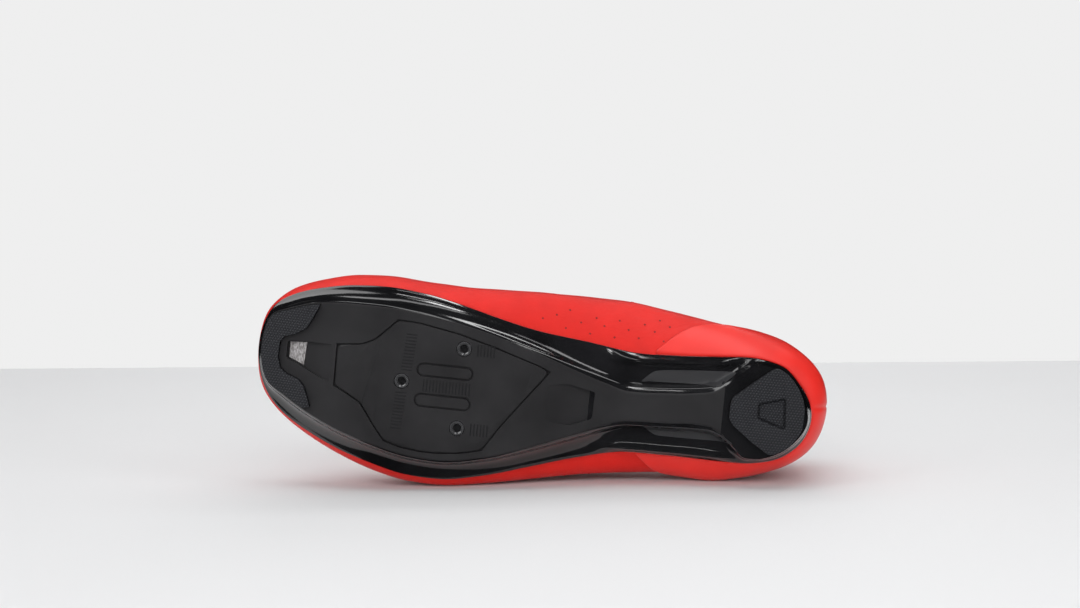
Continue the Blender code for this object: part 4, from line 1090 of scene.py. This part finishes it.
heelHole = rounded("heelHole", pads["corner"], 3)
rimmedPad(
    "heel_block", "heel_pad", rounded("heelPad", pads["corner"], 3), level(0.0),
    above(pads["heelSunk"]),
    [
        slab("hole", heelHole, level(-beyond), level(pads["holeDepth"]), cuts=[]),
        ringGroove("rim", grown(heelHole, pads["holeGroove"]), grown(heelHole, -pads["holeGroove"]),
                   -beyond, pads["grooveDepth"]),
    ],
)
rimmedPad("toe_bumper", "toe_pad", toePadOutline(0.0), above(-pads["toeProud"]),
          above(pads["toeSunk"]))

vent = {"gap": 0.0003, "low": 0.0029, "middle": 0.0034, "high": 0.0039, "cuts": 0.00020,
        "rib": 0.00012, "pitch": 0.0008}


def buildVent():
    # a ribbed mesh insert across the window
    window = grown(onPlate(outlines["ventWindow"]), -vent["gap"])
    xs = [p.x for p in window]
    mesh = slab("vent_rib_mesh", window, above(vent["low"]), above(vent["high"]),
                cuts=[np.arange(min(xs), max(xs), vent["cuts"])])
    middle = above(vent["middle"])
    for vert in mesh.vertices:
        if vert.co.z < middle(vert.co):
            vert.co.z += vent["rib"] * math.cos(2 * math.pi * vert.co.x / vent["pitch"])
    placePiece("vent_rib_mesh", mesh, ["ventCloth"], ["toe_vent"], 60)


buildVent()
print("sole parts done")


# The upper
upper = {
    "rowsLow": 18, "rowsHigh": 40, "lowest": 0.02, "crisp": 50,
    # a crease: share and height where it begins and ends, depth and half width
    "creases": {
        inner: [
            (0.845, 0.99, 0.760, 0.52, 0.0007, 0.0030), (0.800, 0.97, 0.700, 0.45, 0.0006, 0.0034),
            (0.900, 0.97, 0.830, 0.60, 0.0005, 0.0028), (0.300, 0.95, 0.420, 0.50, 0.0007, 0.0050),
            (0.340, 0.60, 0.520, 0.40, 0.0004, 0.0040), (0.225, 0.64, 0.310, 0.50, 0.0005, 0.0020),
            (0.215, 0.53, 0.285, 0.44, 0.0004, 0.0018), (0.245, 0.74, 0.340, 0.60, 0.0005, 0.0024),
        ],
        outer: [
            (0.850, 0.99, 0.765, 0.50, 0.0007, 0.0030), (0.805, 0.97, 0.705, 0.44, 0.0006, 0.0034),
            (0.905, 0.97, 0.835, 0.60, 0.0005, 0.0028), (0.300, 0.95, 0.420, 0.50, 0.0007, 0.0050),
            (0.360, 0.60, 0.520, 0.42, 0.0004, 0.0040), (0.240, 0.64, 0.320, 0.50, 0.0005, 0.0020),
            (0.270, 0.55, 0.335, 0.45, 0.0004, 0.0018), (0.245, 0.74, 0.340, 0.62, 0.0005, 0.0024),
        ],
    },
    "swell": 0.45, "swellAt": 2.0,  # the soft fold beside each crease, by its depth and half width
}


def creased(points, normals):
    flat, out = points.reshape(-1, 3), normals.reshape(-1, 3)
    push = np.zeros(len(flat))
    t = np.linspace(0, 1, 40)
    for side, creases in upper["creases"].items():
        for share0, up0, share1, up1, depth, width in creases:
            line = upperSkin(share0 + (share1 - share0) * t, side, up0 + (up1 - up0) * t)
            far, fade = np.full(len(flat), 1.0), np.zeros(len(flat))
            for place, part in zip(line, t):
                distance = np.linalg.norm(flat - place, axis=1)
                nearer = distance < far
                far[nearer] = distance[nearer]
                fade[nearer] = math.sin(math.pi * min(max(part, 0.02), 0.98)) ** 0.7
            beside = (far - upper["swellAt"] * width) / width
            push -= depth * fade * np.exp(-((far / width) ** 2))
            push += depth * upper["swell"] * fade * np.exp(-(beside ** 2))
    return (flat + out * push[:, None]).reshape(points.shape)


def buildUpper():
    ups = np.concatenate([
        np.linspace(upper["lowest"], last["widestAt"], upper["rowsLow"]),
        np.linspace(last["widestAt"], 1.0, upper["rowsHigh"])[1:],
    ])
    skin = creased(*skinAt(roundShare[None, :], roundSide[None, :], ups[:, None]))
    base = upperBase(roundShare, roundSide)
    flat = [(p[0], p[1]) for p in base]
    rows = []
    for inside in (last["lastingMargin"], last["bowlSlope"] - last["setback"]):
        ring = grownRing(flat, -inside)
        x = ring[:, 0]
        depth = np.clip((inside + last["setback"]) / last["bowlSlope"], 0, 1)
        z = rimHeight(x) + (bedHeight(x) - rimHeight(x)) * depth + last["clearance"]
        rows.append(np.column_stack([ring, z]))
    rows.append(base)
    whole = np.concatenate([np.array(rows), skin])
    piece = meshPiece("upper_shell", whole.reshape(-1, 3), gridFaces(*whole.shape[:2], wrap=True),
                      ["redMicrofibre", "liningMesh"], "red_microfibre", ["upper"])
    faceOut(piece.data)
    wall = piece.modifiers.new("wall", "SOLIDIFY")
    wall.thickness, wall.offset = last["wall"], -1.0
    wall.use_even_offset = False
    wall.material_offset, wall.material_offset_rim = 1, 0
    smoothed(applied(piece), upper["crisp"])
    piece.visible_glossy = False  # the gloss of the sole mirrors no red
    return piece


upperShell = buildUpper()
print("upper shell:", len(upperShell.data.polygons), "faces")

edging = {"proud": 0.00035, "radius": 0.0012, "seams": (0.035, 0.055)}


def topEdge(drop):
    # the collar and throat edge as a closed loop, a little below the very top
    return skinAt(roundShare, roundSide, np.full(len(roundShare), 1.0 - drop))


def buildEdging():
    # a rolled binding over the edge of the upper
    edge, out = topEdge(0.0)
    half = last["wall"] / 2
    binding = sweep(edge - out * half, out, half + edging["proud"], edging["radius"], sides=12)
    meshPiece("collar_binding", *binding, ["redMicrofibre"], "red_microfibre")


buildEdging()

collar = {
    "to": 0.375, "steps": 70, "across": 18, "thick": 0.0052, "top": 0.012, "tall": 0.185,
    "spacing": 1.6,
    "under": 0.7, "over": 0.9,  # shares of the wall between the skin and the roll's two faces
}


def buildCollarPad():
    # the padded roll inside the collar, thinning out towards the throat
    t = np.linspace(-1, 1, 2 * collar["steps"] + 1)
    share = (np.abs(t) ** collar["spacing"] * collar["to"])[:, None]
    side = np.where(t >= 0, inner, outer)[:, None]
    across = np.linspace(0, 1, collar["across"])[None, :]
    up = 1 - collar["top"] - across * collar["tall"]
    skin, out = skinAt(share, side, up)
    for _ in range(6):
        out[1:-1] = unit(out[:-2] + out[1:-1] + out[2:])
    fade = smoothStep(0.0, 0.3, 1 - np.abs(t))[:, None]
    belly = (4 * across * (1 - across)) ** 0.6
    under = skin - out * (last["wall"] * collar["under"])
    over = skin - out * (last["wall"] * collar["over"] + collar["thick"] * belly * fade)[..., None]
    piece = sheetPair("collar_pad", under, over, ["collarKnit"], "insole_fabric", crisp=60)


buildCollarPad()

cup = {
    "gap": 0.0004, "wall": 0.0010, "edge": 0.0009, "endEdge": 0.0012, "thinnest": 0.35,
    "seamDepth": 0.00055, "seamWidth": 0.0008, "seamAt": 0.0012, "seamTo": 0.035,
    "seamLeft": 0.00012,
    "columns": 60, "rows": 56, "low": (0.010, 0.020, 0.033, 0.048), "top": 0.86,
    "edgeColumns": (0.0, 0.003, 0.008, 0.016),
    # how far up the side, then how far forward the cup's front edge is on the inner and outer side
    "front": [(0.03, 0.287, 0.305), (0.20, 0.240, 0.280), (0.36, 0.172, 0.238),
              (0.55, 0.120, 0.170), (0.75, 0.085, 0.100), (0.86, 0.055, 0.060)],
}


def edgeDistance(grid, axis):
    # how far each point of a grid is from the nearer of its two ends along an axis
    first, final = np.take(grid, [0], axis), np.take(grid, [-1], axis)
    return np.minimum(np.linalg.norm(grid - first, axis=-1), np.linalg.norm(grid - final, axis=-1))


def buildCup():
    edgeRows = columns(cup["front"])
    front = {side: smoothCurve(edgeRows[0], edgeRows[i]) for side, i in ((inner, 1), (outer, 2))}
    ups = np.concatenate([cup["low"][:-1], np.linspace(cup["low"][-1], cup["top"], cup["rows"])])
    even, edge = np.linspace(-1, 1, 2 * cup["columns"] + 1), np.array(cup["edgeColumns"])
    t = np.concatenate([-1 + edge, even[1:-1], (1 - edge)[::-1]])
    side = np.where(t >= 0, inner, outer)[None, :]
    reach = np.where(side > 0, front[inner](ups)[:, None], front[outer](ups)[:, None])
    share = (1 - np.cos(np.abs(t)[None, :] * turnAngle(reach))) / 2
    skin, out = skinAt(share, side, np.broadcast_to(ups[:, None], share.shape))
    tip = len(t) // 2
    out[:, tip] = unit(out[:, tip - 1] + out[:, tip + 1])
    thick = cup["wall"]
    for axis, width in ((1, cup["edge"]), (0, cup["endEdge"])):
        full = roundedEdge(edgeDistance(skin, axis), width)
        thick = thick * (cup["thinnest"] + (1 - cup["thinnest"]) * full)
    seam = np.exp(-(((skin[..., 1] - cup["seamAt"]) / cup["seamWidth"]) ** 2))
    seam = seam * (skin[..., 0] < cup["seamTo"])
    thick = np.maximum(thick - cup["seamDepth"] * seam, cup["seamLeft"])
    under = skin + out * cup["gap"] * 0.25
    over = skin + out * (cup["gap"] + thick)[..., None]
    piece = sheetPair("heel_cup", under, over, ["redCup"], "red_cup", ["heel_counter"])
    piece.visible_glossy = False


buildCup()
print("heel cup done")

holes = {
    "radius": 0.00055, "rim": 0.00017, "sides": 12, "proud": 0.00002, "highest": 0.82,
    "rearmost": 0.072,
    # where the holes seen in the photograph lie, looked at from straight below
    "seen": [
        (0.1435, 0.0315), (0.1369, 0.0337), (0.1307, 0.0364), (0.1318, 0.0277), (0.1247, 0.0310),
        (0.1174, 0.0337), (0.1197, 0.0260), (0.1131, 0.0302), (0.1059, 0.0334), (0.1076, 0.0252),
        (0.1011, 0.0294), (0.0934, 0.0327), (0.0862, 0.0352), (0.0957, 0.0259), (0.0881, 0.0297),
        (0.0810, 0.0327), (0.0833, 0.0257),
    ],
    # further up the inner side, and on the outer side: where each slanting row begins, as x and
    # height from rim (0) to top (1)
    "rows": {
        inner: [(0.1250, 0.50), (0.1130, 0.48), (0.1010, 0.46)],
        outer: [(0.1500, 0.40), (0.1380, 0.37), (0.1260, 0.35), (0.1140, 0.35), (0.1020, 0.37)],
    },
    "count": 5, "stepX": -0.0068, "stepUp": 0.066,
}


# each hole is a dark disc on the skin, painted shade in place of a cut hole, with a raised rim round it
def holeAt(place, out, discs, rims):
    place, out = np.array(place).reshape(3), np.array(out).reshape(3)
    across = unit(np.cross(out, [0.0, 0.0, 1.0]))
    over = np.cross(out, across)
    sides, proud = holes["sides"], holes["proud"]
    turn = np.linspace(0, 2 * math.pi, sides, endpoint=False)
    spokes = [across * math.cos(a) + over * math.sin(a) for a in turn]
    disc = [place + out * 2 * proud + spoke * holes["radius"] for spoke in spokes]
    discs.append((np.array(disc + [place + out * proud]),
                  [[j, (j + 1) % sides, sides] for j in range(sides)]))
    loop = np.array([place + out * 1.5 * proud + spoke * (holes["radius"] + 0.0001)
                     for spoke in spokes])
    rims.append(sweep(loop, np.tile(out, (sides, 1)), holes["rim"] * 0.6, holes["rim"], sides=6))


def perforate():
    discs, rims = [], []
    skin = treeOf(upperShell)
    for x, y in holes["seen"]:
        hit, normal, _, _ = skin.ray_cast(Vector((x, y, 0.0)), Vector((0, 0, 1)))
        if hit:
            holeAt(hit, normal, discs, rims)
    for side, rows in holes["rows"].items():
        for x0, up0 in rows:
            for k in range(holes["count"]):
                x, up = x0 + holes["stepX"] * k, up0 + holes["stepUp"] * k
                if up < holes["highest"] and x > holes["rearmost"]:
                    holeAt(*skinAt(shareAt(np.array(x), side, up), side, up), discs, rims)
    meshPiece("perforations", *joined(discs), ["holeDark"], "red_microfibre")
    meshPiece("perforation_rims", *joined(rims), ["redMicrofibre"], "red_microfibre")
    print("perforations:", len(discs))


perforate()

straps = {
    "width": 0.019, "thick": 0.0022, "gap": 0.0005, "crown": 0.0042, "ribs": 23, "steps": 34,
    "bridge": 24, "edge": 0.0009, "sewn": 0.016, "sewnThin": 0.22,
    "tip": 0.72, "tipRound": 0.004, "tipRun": 0.035, "edgeColumns": (0, 0.012, 0.03, 0.055),
    # share of the length at the throat and down at the ends, and how far down it ends on both sides
    "places": {"strap_front": (0.642, 0.668, 0.52, 0.62),
               "strap_middle": (0.555, 0.572, 0.50, 0.58),
               "strap_top": (0.462, 0.452, 0.46, 0.56)},
}


def strapGrid(name, offsets):
    throat, low, outerEnd, innerEnd = straps["places"][name]
    falls = {}
    for side, end in ((outer, outerEnd), (inner, innerEnd)):
        up = np.linspace(end, 1.0, straps["steps"])[None, :]
        along = throat + (low - throat) * (1 - up) / (1 - end)
        tip = roundedEdge((up - end) / (1 - end) * straps["tipRun"], straps["tipRound"])
        width = straps["width"] * (straps["tip"] + (1 - straps["tip"]) * tip)
        x = along * last["length"] + offsets[:, None] * width
        skin, out = skinAt(shareAt(x, side, np.broadcast_to(up, x.shape)), side, up)
        falls[side] = skin + out * straps["gap"]
    near, far = falls[outer][:, -1], falls[inner][:, -1]
    t = np.linspace(0, 1, straps["bridge"])[1:-1]
    bridge = near[:, None] * (1 - t)[None, :, None] + far[:, None] * t[None, :, None]
    bridge[..., 2] += straps["crown"] * 4 * t * (1 - t)
    grid = np.concatenate([falls[outer], bridge, falls[inner][:, ::-1]], axis=1)
    out = unit(np.cross(np.gradient(grid, axis=0), np.gradient(grid, axis=1)))
    return grid, out if out[len(offsets) // 2, grid.shape[1] // 2, 2] >= 0 else -out


def buildStrap(name):
    edge = np.array(straps["edgeColumns"])
    ribs = np.linspace(0.1, 0.9, straps["ribs"] - 2 * len(edge))
    offsets = np.concatenate([edge, ribs, 1 - edge[::-1]]) - 0.5
    grid, out = strapGrid(name, offsets)
    fromSide = (0.5 - np.abs(offsets))[:, None] * straps["width"]
    steps = np.linalg.norm(np.diff(grid[len(offsets) // 2], axis=0), axis=1)
    run = np.concatenate([[0], np.cumsum(steps)])
    share = roundedEdge(np.minimum(fromSide, np.minimum(run, run[-1] - run)[None, :]),
                        straps["edge"])
    free = smoothStep(0.0, straps["sewn"], run[-1] - run)  # 0 where the strap is sewn down
    half = straps["sewnThin"] + (1 - straps["sewnThin"]) * free
    half = (straps["thick"] / 2 * half)[None, :, None]
    grid = grid - out * (0.8 * straps["gap"] * (1 - free))[None, :, None]
    under, over = (grid + out * half * (1 + face * share[..., None]) for face in (-1, 1))
    sheetPair(f"{name}_band", under, over, ["strapRed"], "strap_microfibre", [name])
    threads = []
    for row in (3, len(offsets) - 4):
        threads += stitchRow(over[row, 3:-3], out[row, 3:-3])
    for column in (5, grid.shape[1] - 6):
        threads += stitchRow(over[3:-3, column], out[3:-3, column])
    return threads


threads = [row for name in straps["places"] for row in buildStrap(name)]
meshPiece("strap_stitches", *joined(threads), ["threadRed"], "strap_microfibre")
print("straps done, stitches:", len(threads))

threads = [row for drop in edging["seams"] for row in stitchRow(*topEdge(drop))]
meshPiece("collar_stitches", *joined(threads), ["threadRed"], "red_microfibre")

tongue = {
    "thick": 0.0030, "sink": 0.0034, "round": 10.5, "middle": -0.012, "edge": 0.0016,
    "across": 41, "along": [(0.310, 0.322, 8), (0.322, 0.740, 90), (0.740, 0.752, 7)],
    # along the shoe, half width
    "rows": [
        (0.310, 0.110), (0.325, 0.150), (0.355, 0.165), (0.395, 0.172), (0.435, 0.192),
        (0.475, 0.218), (0.530, 0.210), (0.585, 0.195), (0.640, 0.180), (0.690, 0.160),
        (0.725, 0.140), (0.752, 0.115),
    ],
}


def buildTongue():
    throat = [row for row in topRows if row[0] >= 0.43]
    places = [row[1] for row in throat]
    height = smoothCurve(places, [row[4] for row in throat])
    half = smoothCurve(places, [(row[2] + row[3]) / 2 for row in throat])
    width = smoothCurve(*columns(tongue["rows"]))
    topRise = (throat[0][4] - throat[1][4]) / (places[1] - places[0])
    along = np.unique(np.concatenate([np.linspace(*span) for span in tongue["along"]]))
    t = np.sin(np.linspace(-1, 1, tongue["across"]) * math.pi / 2)
    z = height(along) * last["instep"]
    z = z + np.where(along < places[0], (places[0] - along) * topRise * last["instep"], 0)
    z = z - np.where(along > places[-1],
                     (along - places[-1]) * last["shoulderSlope"] * last["length"], 0)
    edge = half(along) * last["ball"]
    reach = width(along)[:, None] * last["ball"]
    y = t[None, :] * reach
    crown = tongue["round"] * (edge[:, None] ** 2 - y**2)
    top = np.stack([
        np.broadcast_to((along * last["length"])[:, None], y.shape),
        tongue["middle"] * last["ball"] + y,
        z[:, None] - tongue["sink"] + crown,
    ], axis=-1)
    fromEnd = np.minimum(along - along[0], along[-1] - along)[:, None] * last["length"]
    share = roundedEdge(np.minimum((1 - np.abs(t))[None, :] * reach, fromEnd), tongue["edge"])
    middle = top - np.array([0, 0, tongue["thick"] / 2])
    puff = tongue["thick"] / 2 * share[..., None] * np.array([0, 0, 1.0])
    piece = sheetPair("tongue_pad", middle - puff, middle + puff, ["tongueRed"],
                      "tongue_microfibre", ["tongue"])


buildTongue()

insole = {"thick": 0.003, "inset": 0.0066, "edge": 0.0014, "across": 41, "under": 0.4, "ends": 1.2}


def buildInsole():
    outline = grownRing(footRing("rim"), -(last["wall"] + insole["inset"]))
    grid = closeAcross(np.column_stack([outline, np.zeros(len(outline))]), insole["across"])
    x = grid[..., 0]
    low = bedHeight(x) + last["wall"] + 2 * last["clearance"]
    fromEnd = np.minimum(x - x.min(), x.max() - x) * insole["ends"]
    share = roundedEdge(np.minimum(edgeDistance(grid, 1), fromEnd), insole["edge"])
    under, over = grid.copy(), grid.copy()
    under[..., 2] = low + insole["thick"] * insole["under"] * (1 - share)
    over[..., 2] = low + insole["thick"] * (insole["under"] + (1 - insole["under"]) * share)
    piece = sheetPair("insole_sheet", under, over, ["insoleTop"], "insole_fabric", ["insole"])


buildInsole()
print("tongue and insole done")

scale = {
    "height": 0.00010, "sunk": 0.00002, "thick": 0.00060, "long": 0.0060, "pitch": 0.0016,
    "crisp": 20,
    "slotMiddle": (0.1860, -0.0052), "slotTicks": 7,
    "frontFrom": (0.2070, 0.0056), "frontTicks": 12, "frontShift": 0.0008, "frontLean": 0.00012,
    "frontLong": 0.0054, "rearFrom": 0.0068, "rearTicks": 6,
}


def scaleBar(x, y, lengthX, lengthY):
    # one raised line with slanting sides
    points = [(x + i * (lengthX / 2 - inset), y + j * (lengthY / 2 - inset), z)
              for inset, z in ((0.0, scale["sunk"]), (scale["height"], -scale["height"]))
              for i, j in ((-1, -1), (1, -1), (1, 1), (-1, 1))]
    sides = [(j, (j + 1) % 4, (j + 1) % 4 + 4, j + 4) for j in range(4)]
    return np.array(points), [(0, 3, 2, 1), (4, 5, 6, 7), *sides]


def buildScale():
    # plain moulded lines that help to line a cleat up
    thick, long, pitch = (scale[key] for key in ("thick", "long", "pitch"))
    x, y = scale["slotMiddle"]
    bars = [scaleBar(x + k * pitch, y, thick, long)
            for k in range(-scale["slotTicks"], scale["slotTicks"] + 1)]
    x, fromBolt = scale["frontFrom"]
    for side in (1, -1):
        for k in range(scale["frontTicks"]):
            shift = side * (scale["frontShift"] + k * scale["frontLean"])
            bars.append(scaleBar(x - shift, bolts["front"][1] + side * (fromBolt + k * pitch),
                                 scale["frontLong"], thick))
    for x, y in list(boltPlaces.values())[1:]:
        bars += [scaleBar(x - scale["rearFrom"] - k * pitch, y, thick, long)
                 for k in range(scale["rearTicks"])]
    meshPiece("cleat_scale", *joined(bars), ["scaleInk"], "plate_plastic", crisp=scale["crisp"])


buildScale()

# Floor, backdrop, light and camera
stage = {
    "floor": (0.79, 0.79, 0.795), "floorDark": 0.985, "floorRough": 0.42,
    # the floor's corners, and its faces; only the near part shows in the gloss
    "corners": [(-0.6, -0.120), (-0.160, -0.070), (-0.095, -0.046), (0.6, -0.043), (0.6, 0.525),
                (-0.6, 0.525), (-3.0, -3.0), (3.0, -3.0), (3.0, 0.525), (-3.0, 0.525)],
    "near": [(0, 1, 2, 3, 4, 5)], "wide": [(6, 7, 3, 2, 1, 0), (7, 8, 4, 3), (6, 0, 5, 9)],
    "backdrop": (0.862, 0.862, 0.862), "backdropRadius": 9.0,
    "skyHigh": (0.95, 0.97, 1.0), "skyLow": (0.16, 0.16, 0.17), "worldStrength": 0.26,
}


def stagePiece(name, shape, material):
    mesh = intoMesh(shape, bpy.data.meshes.new(name))
    mesh.materials.append(material)
    piece = bpy.data.objects.new(name, mesh)
    bpy.context.scene.collection.objects.link(piece)
    piece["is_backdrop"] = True
    return piece


def buildFloor():
    material, tree, shader = newMaterial("floorPale", stage["floor"], stage["floorRough"])
    dark = tuple(stage["floorDark"] * c for c in stage["floor"])
    tree.links.new(tint(tree, noise(tree, 3.0), dark, stage["floor"]), shader.inputs["Base Color"])
    for name in ("near", "wide"):
        shape = bmesh.new()
        corners = [shape.verts.new((x, y, 0.0)) for x, y in stage["corners"]]
        for face in stage[name]:
            shape.faces.new([corners[i] for i in face])
        floor = stagePiece(f"studio_floor_{name}", shape, material)
        floor.visible_glossy = name == "near"


def buildBackdrop():
    # a pale backdrop all round, which lights nothing and shows in no reflection
    shape = bmesh.new()
    bmesh.ops.create_icosphere(shape, subdivisions=4, radius=stage["backdropRadius"])
    material, tree, shader = newMaterial("backdropPale", (0.0, 0.0, 0.0), 1.0)
    shader.inputs["Specular IOR Level"].default_value = 0.0
    shader.inputs["Emission Color"].default_value = (*stage["backdrop"], 1)
    shader.inputs["Emission Strength"].default_value = 1.0
    backdrop = stagePiece("studio_backdrop", shape, material)
    for kind in ("diffuse", "glossy", "shadow", "transmission"):
        setattr(backdrop, f"visible_{kind}", False)


def buildSky():
    # brighter overhead than low down, so that the gloss stays dark
    world = bpy.data.worlds.new("studio")
    world.use_nodes = True
    tree = world.node_tree
    background = tree.nodes["Background"]
    place = addNode(tree, "ShaderNodeTexCoord").outputs["Generated"]
    up = addNode(tree, "ShaderNodeSeparateXYZ", {"Vector": place}).outputs[2]
    tree.links.new(tint(tree, up, stage["skyLow"], stage["skyHigh"], -0.25, 0.75),
                   background.inputs[0])
    background.inputs[1].default_value = stage["worldStrength"]
    world.cycles_visibility.glossy = False
    bpy.context.scene.world = world
    bpy.context.scene.view_settings.view_transform = "Standard"


# each light's place, its target, width, height and watts, and whether gloss never shows it or
# only gloss does: the broad ones fill, and the small ones show in the gloss
lights = {
    "overhead": ((0.00, -0.15, 1.35), (0.0, 0.0, 0.03), 1.5, 0.9, 8.7, "never"),
    "front": ((0.10, -1.70, 0.95), (0.0, 0.0, 0.05), 1.6, 1.0, 17.0, "never"),
    "left_front": ((-1.1, -0.9, 0.8), (0.0, 0.0, 0.05), 0.5, 0.9, 4.0, "never"),
    "right_front": ((1.2, -0.8, 0.8), (0.0, 0.0, 0.05), 0.5, 0.9, 5.0, "never"),
    "behind": ((0.00, 1.50, 0.90), (0.0, 0.0, 0.05), 1.2, 0.8, 6.0, "never"),
    "strip_top": ((-0.05, -0.05, 1.20), (0.0, 0.0, 0.03), 1.1, 0.16, 1.6, "only"),
    "toe_soft": ((-0.86, -0.33, 0.97), (-0.12, -0.035, 0.09), 0.9, 0.8, 7.0, "only"),
    "ball_glint": ((0.19, -0.62, 1.12), (-0.05, -0.045, 0.09), 0.24, 0.14, 1.6, "only"),
    "spine_line": ((0.00, -0.82, 0.95), (0.065, -0.042, 0.05), 0.3, 0.06, 0.6, "only"),
    "edge_line": ((0.27, 0.74, 0.94), (-0.02, -0.05, 0.08), 0.3, 0.15, 0.55, "only"),
    "waist_curve": ((0.61, 0.26, 1.07), (0.02, -0.04, 0.06), 0.2, 0.2, 0.40, "only"),
    "low_front": ((0.0, -1.40, 0.10), (0.0, 0.0, 0.03), 1.6, 0.16, 8.0, "never"),
    "far_floor": ((0.0, 0.60, 1.10), (0.0, 0.55, 0.0), 2.6, 0.4, 7.5, "never"),
}


def softLight(name, place, target, width, height, watts, inGloss):
    data = bpy.data.lights.new(name, "AREA")
    data.shape = "RECTANGLE"
    data.size, data.size_y, data.energy = width, height, watts
    light = bpy.data.objects.new(name, data)
    light.visible_glossy = light.visible_diffuse = True
    if inGloss == "never":
        light.visible_glossy = False
    else:
        light.visible_diffuse = False
    light.location = place
    light.rotation_mode = "QUATERNION"
    light.rotation_quaternion = (Vector(target) - Vector(place)).to_track_quat("-Z", "Y")
    bpy.context.scene.collection.objects.link(light)


# the camera, in the shoe's own frame
view = {
    "lens": 70.0, "sensor": 36.0, "place": (0.0828, 0.1348, -1.0074),
    "back": (-0.0608, 0.0934, -0.9938),
    "up": (0.0958, 0.9954, 0.0),
}


def buildCamera():
    data = bpy.data.cameras.new("photo_camera")
    data.lens, data.sensor_width = view["lens"], view["sensor"]
    camera = bpy.data.objects.new("photo_camera", data)
    turn = shoeToRow.to_3x3()
    back = (turn @ Vector(view["back"])).normalized()
    up = turn @ Vector(view["up"])
    up = (up - back * up.dot(back)).normalized()
    matrix = Matrix((up.cross(back), up, back)).transposed().to_4x4()
    matrix.translation = shoeToRow @ Vector(view["place"])
    camera.matrix_world = matrix
    bpy.context.scene.collection.objects.link(camera)
    bpy.context.scene.camera = camera
    print("camera at", [round(v, 3) for v in matrix.translation])


buildFloor()
buildBackdrop()
buildSky()
for name, settings in lights.items():
    softLight(name, *settings)
buildCamera()

# every mesh moves from the shoe's frame to where the shoe lies
for piece in placed:
    piece.data.transform(shoeToRow)
bpy.context.view_layer.update()

boxes = {"cad": [list(corner) for corner in cadBox],
         "visual": [list(corner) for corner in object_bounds()]}
for name, box in boxes.items():
    print(name, "box", [[round(v, 4) for v in corner] for corner in box])
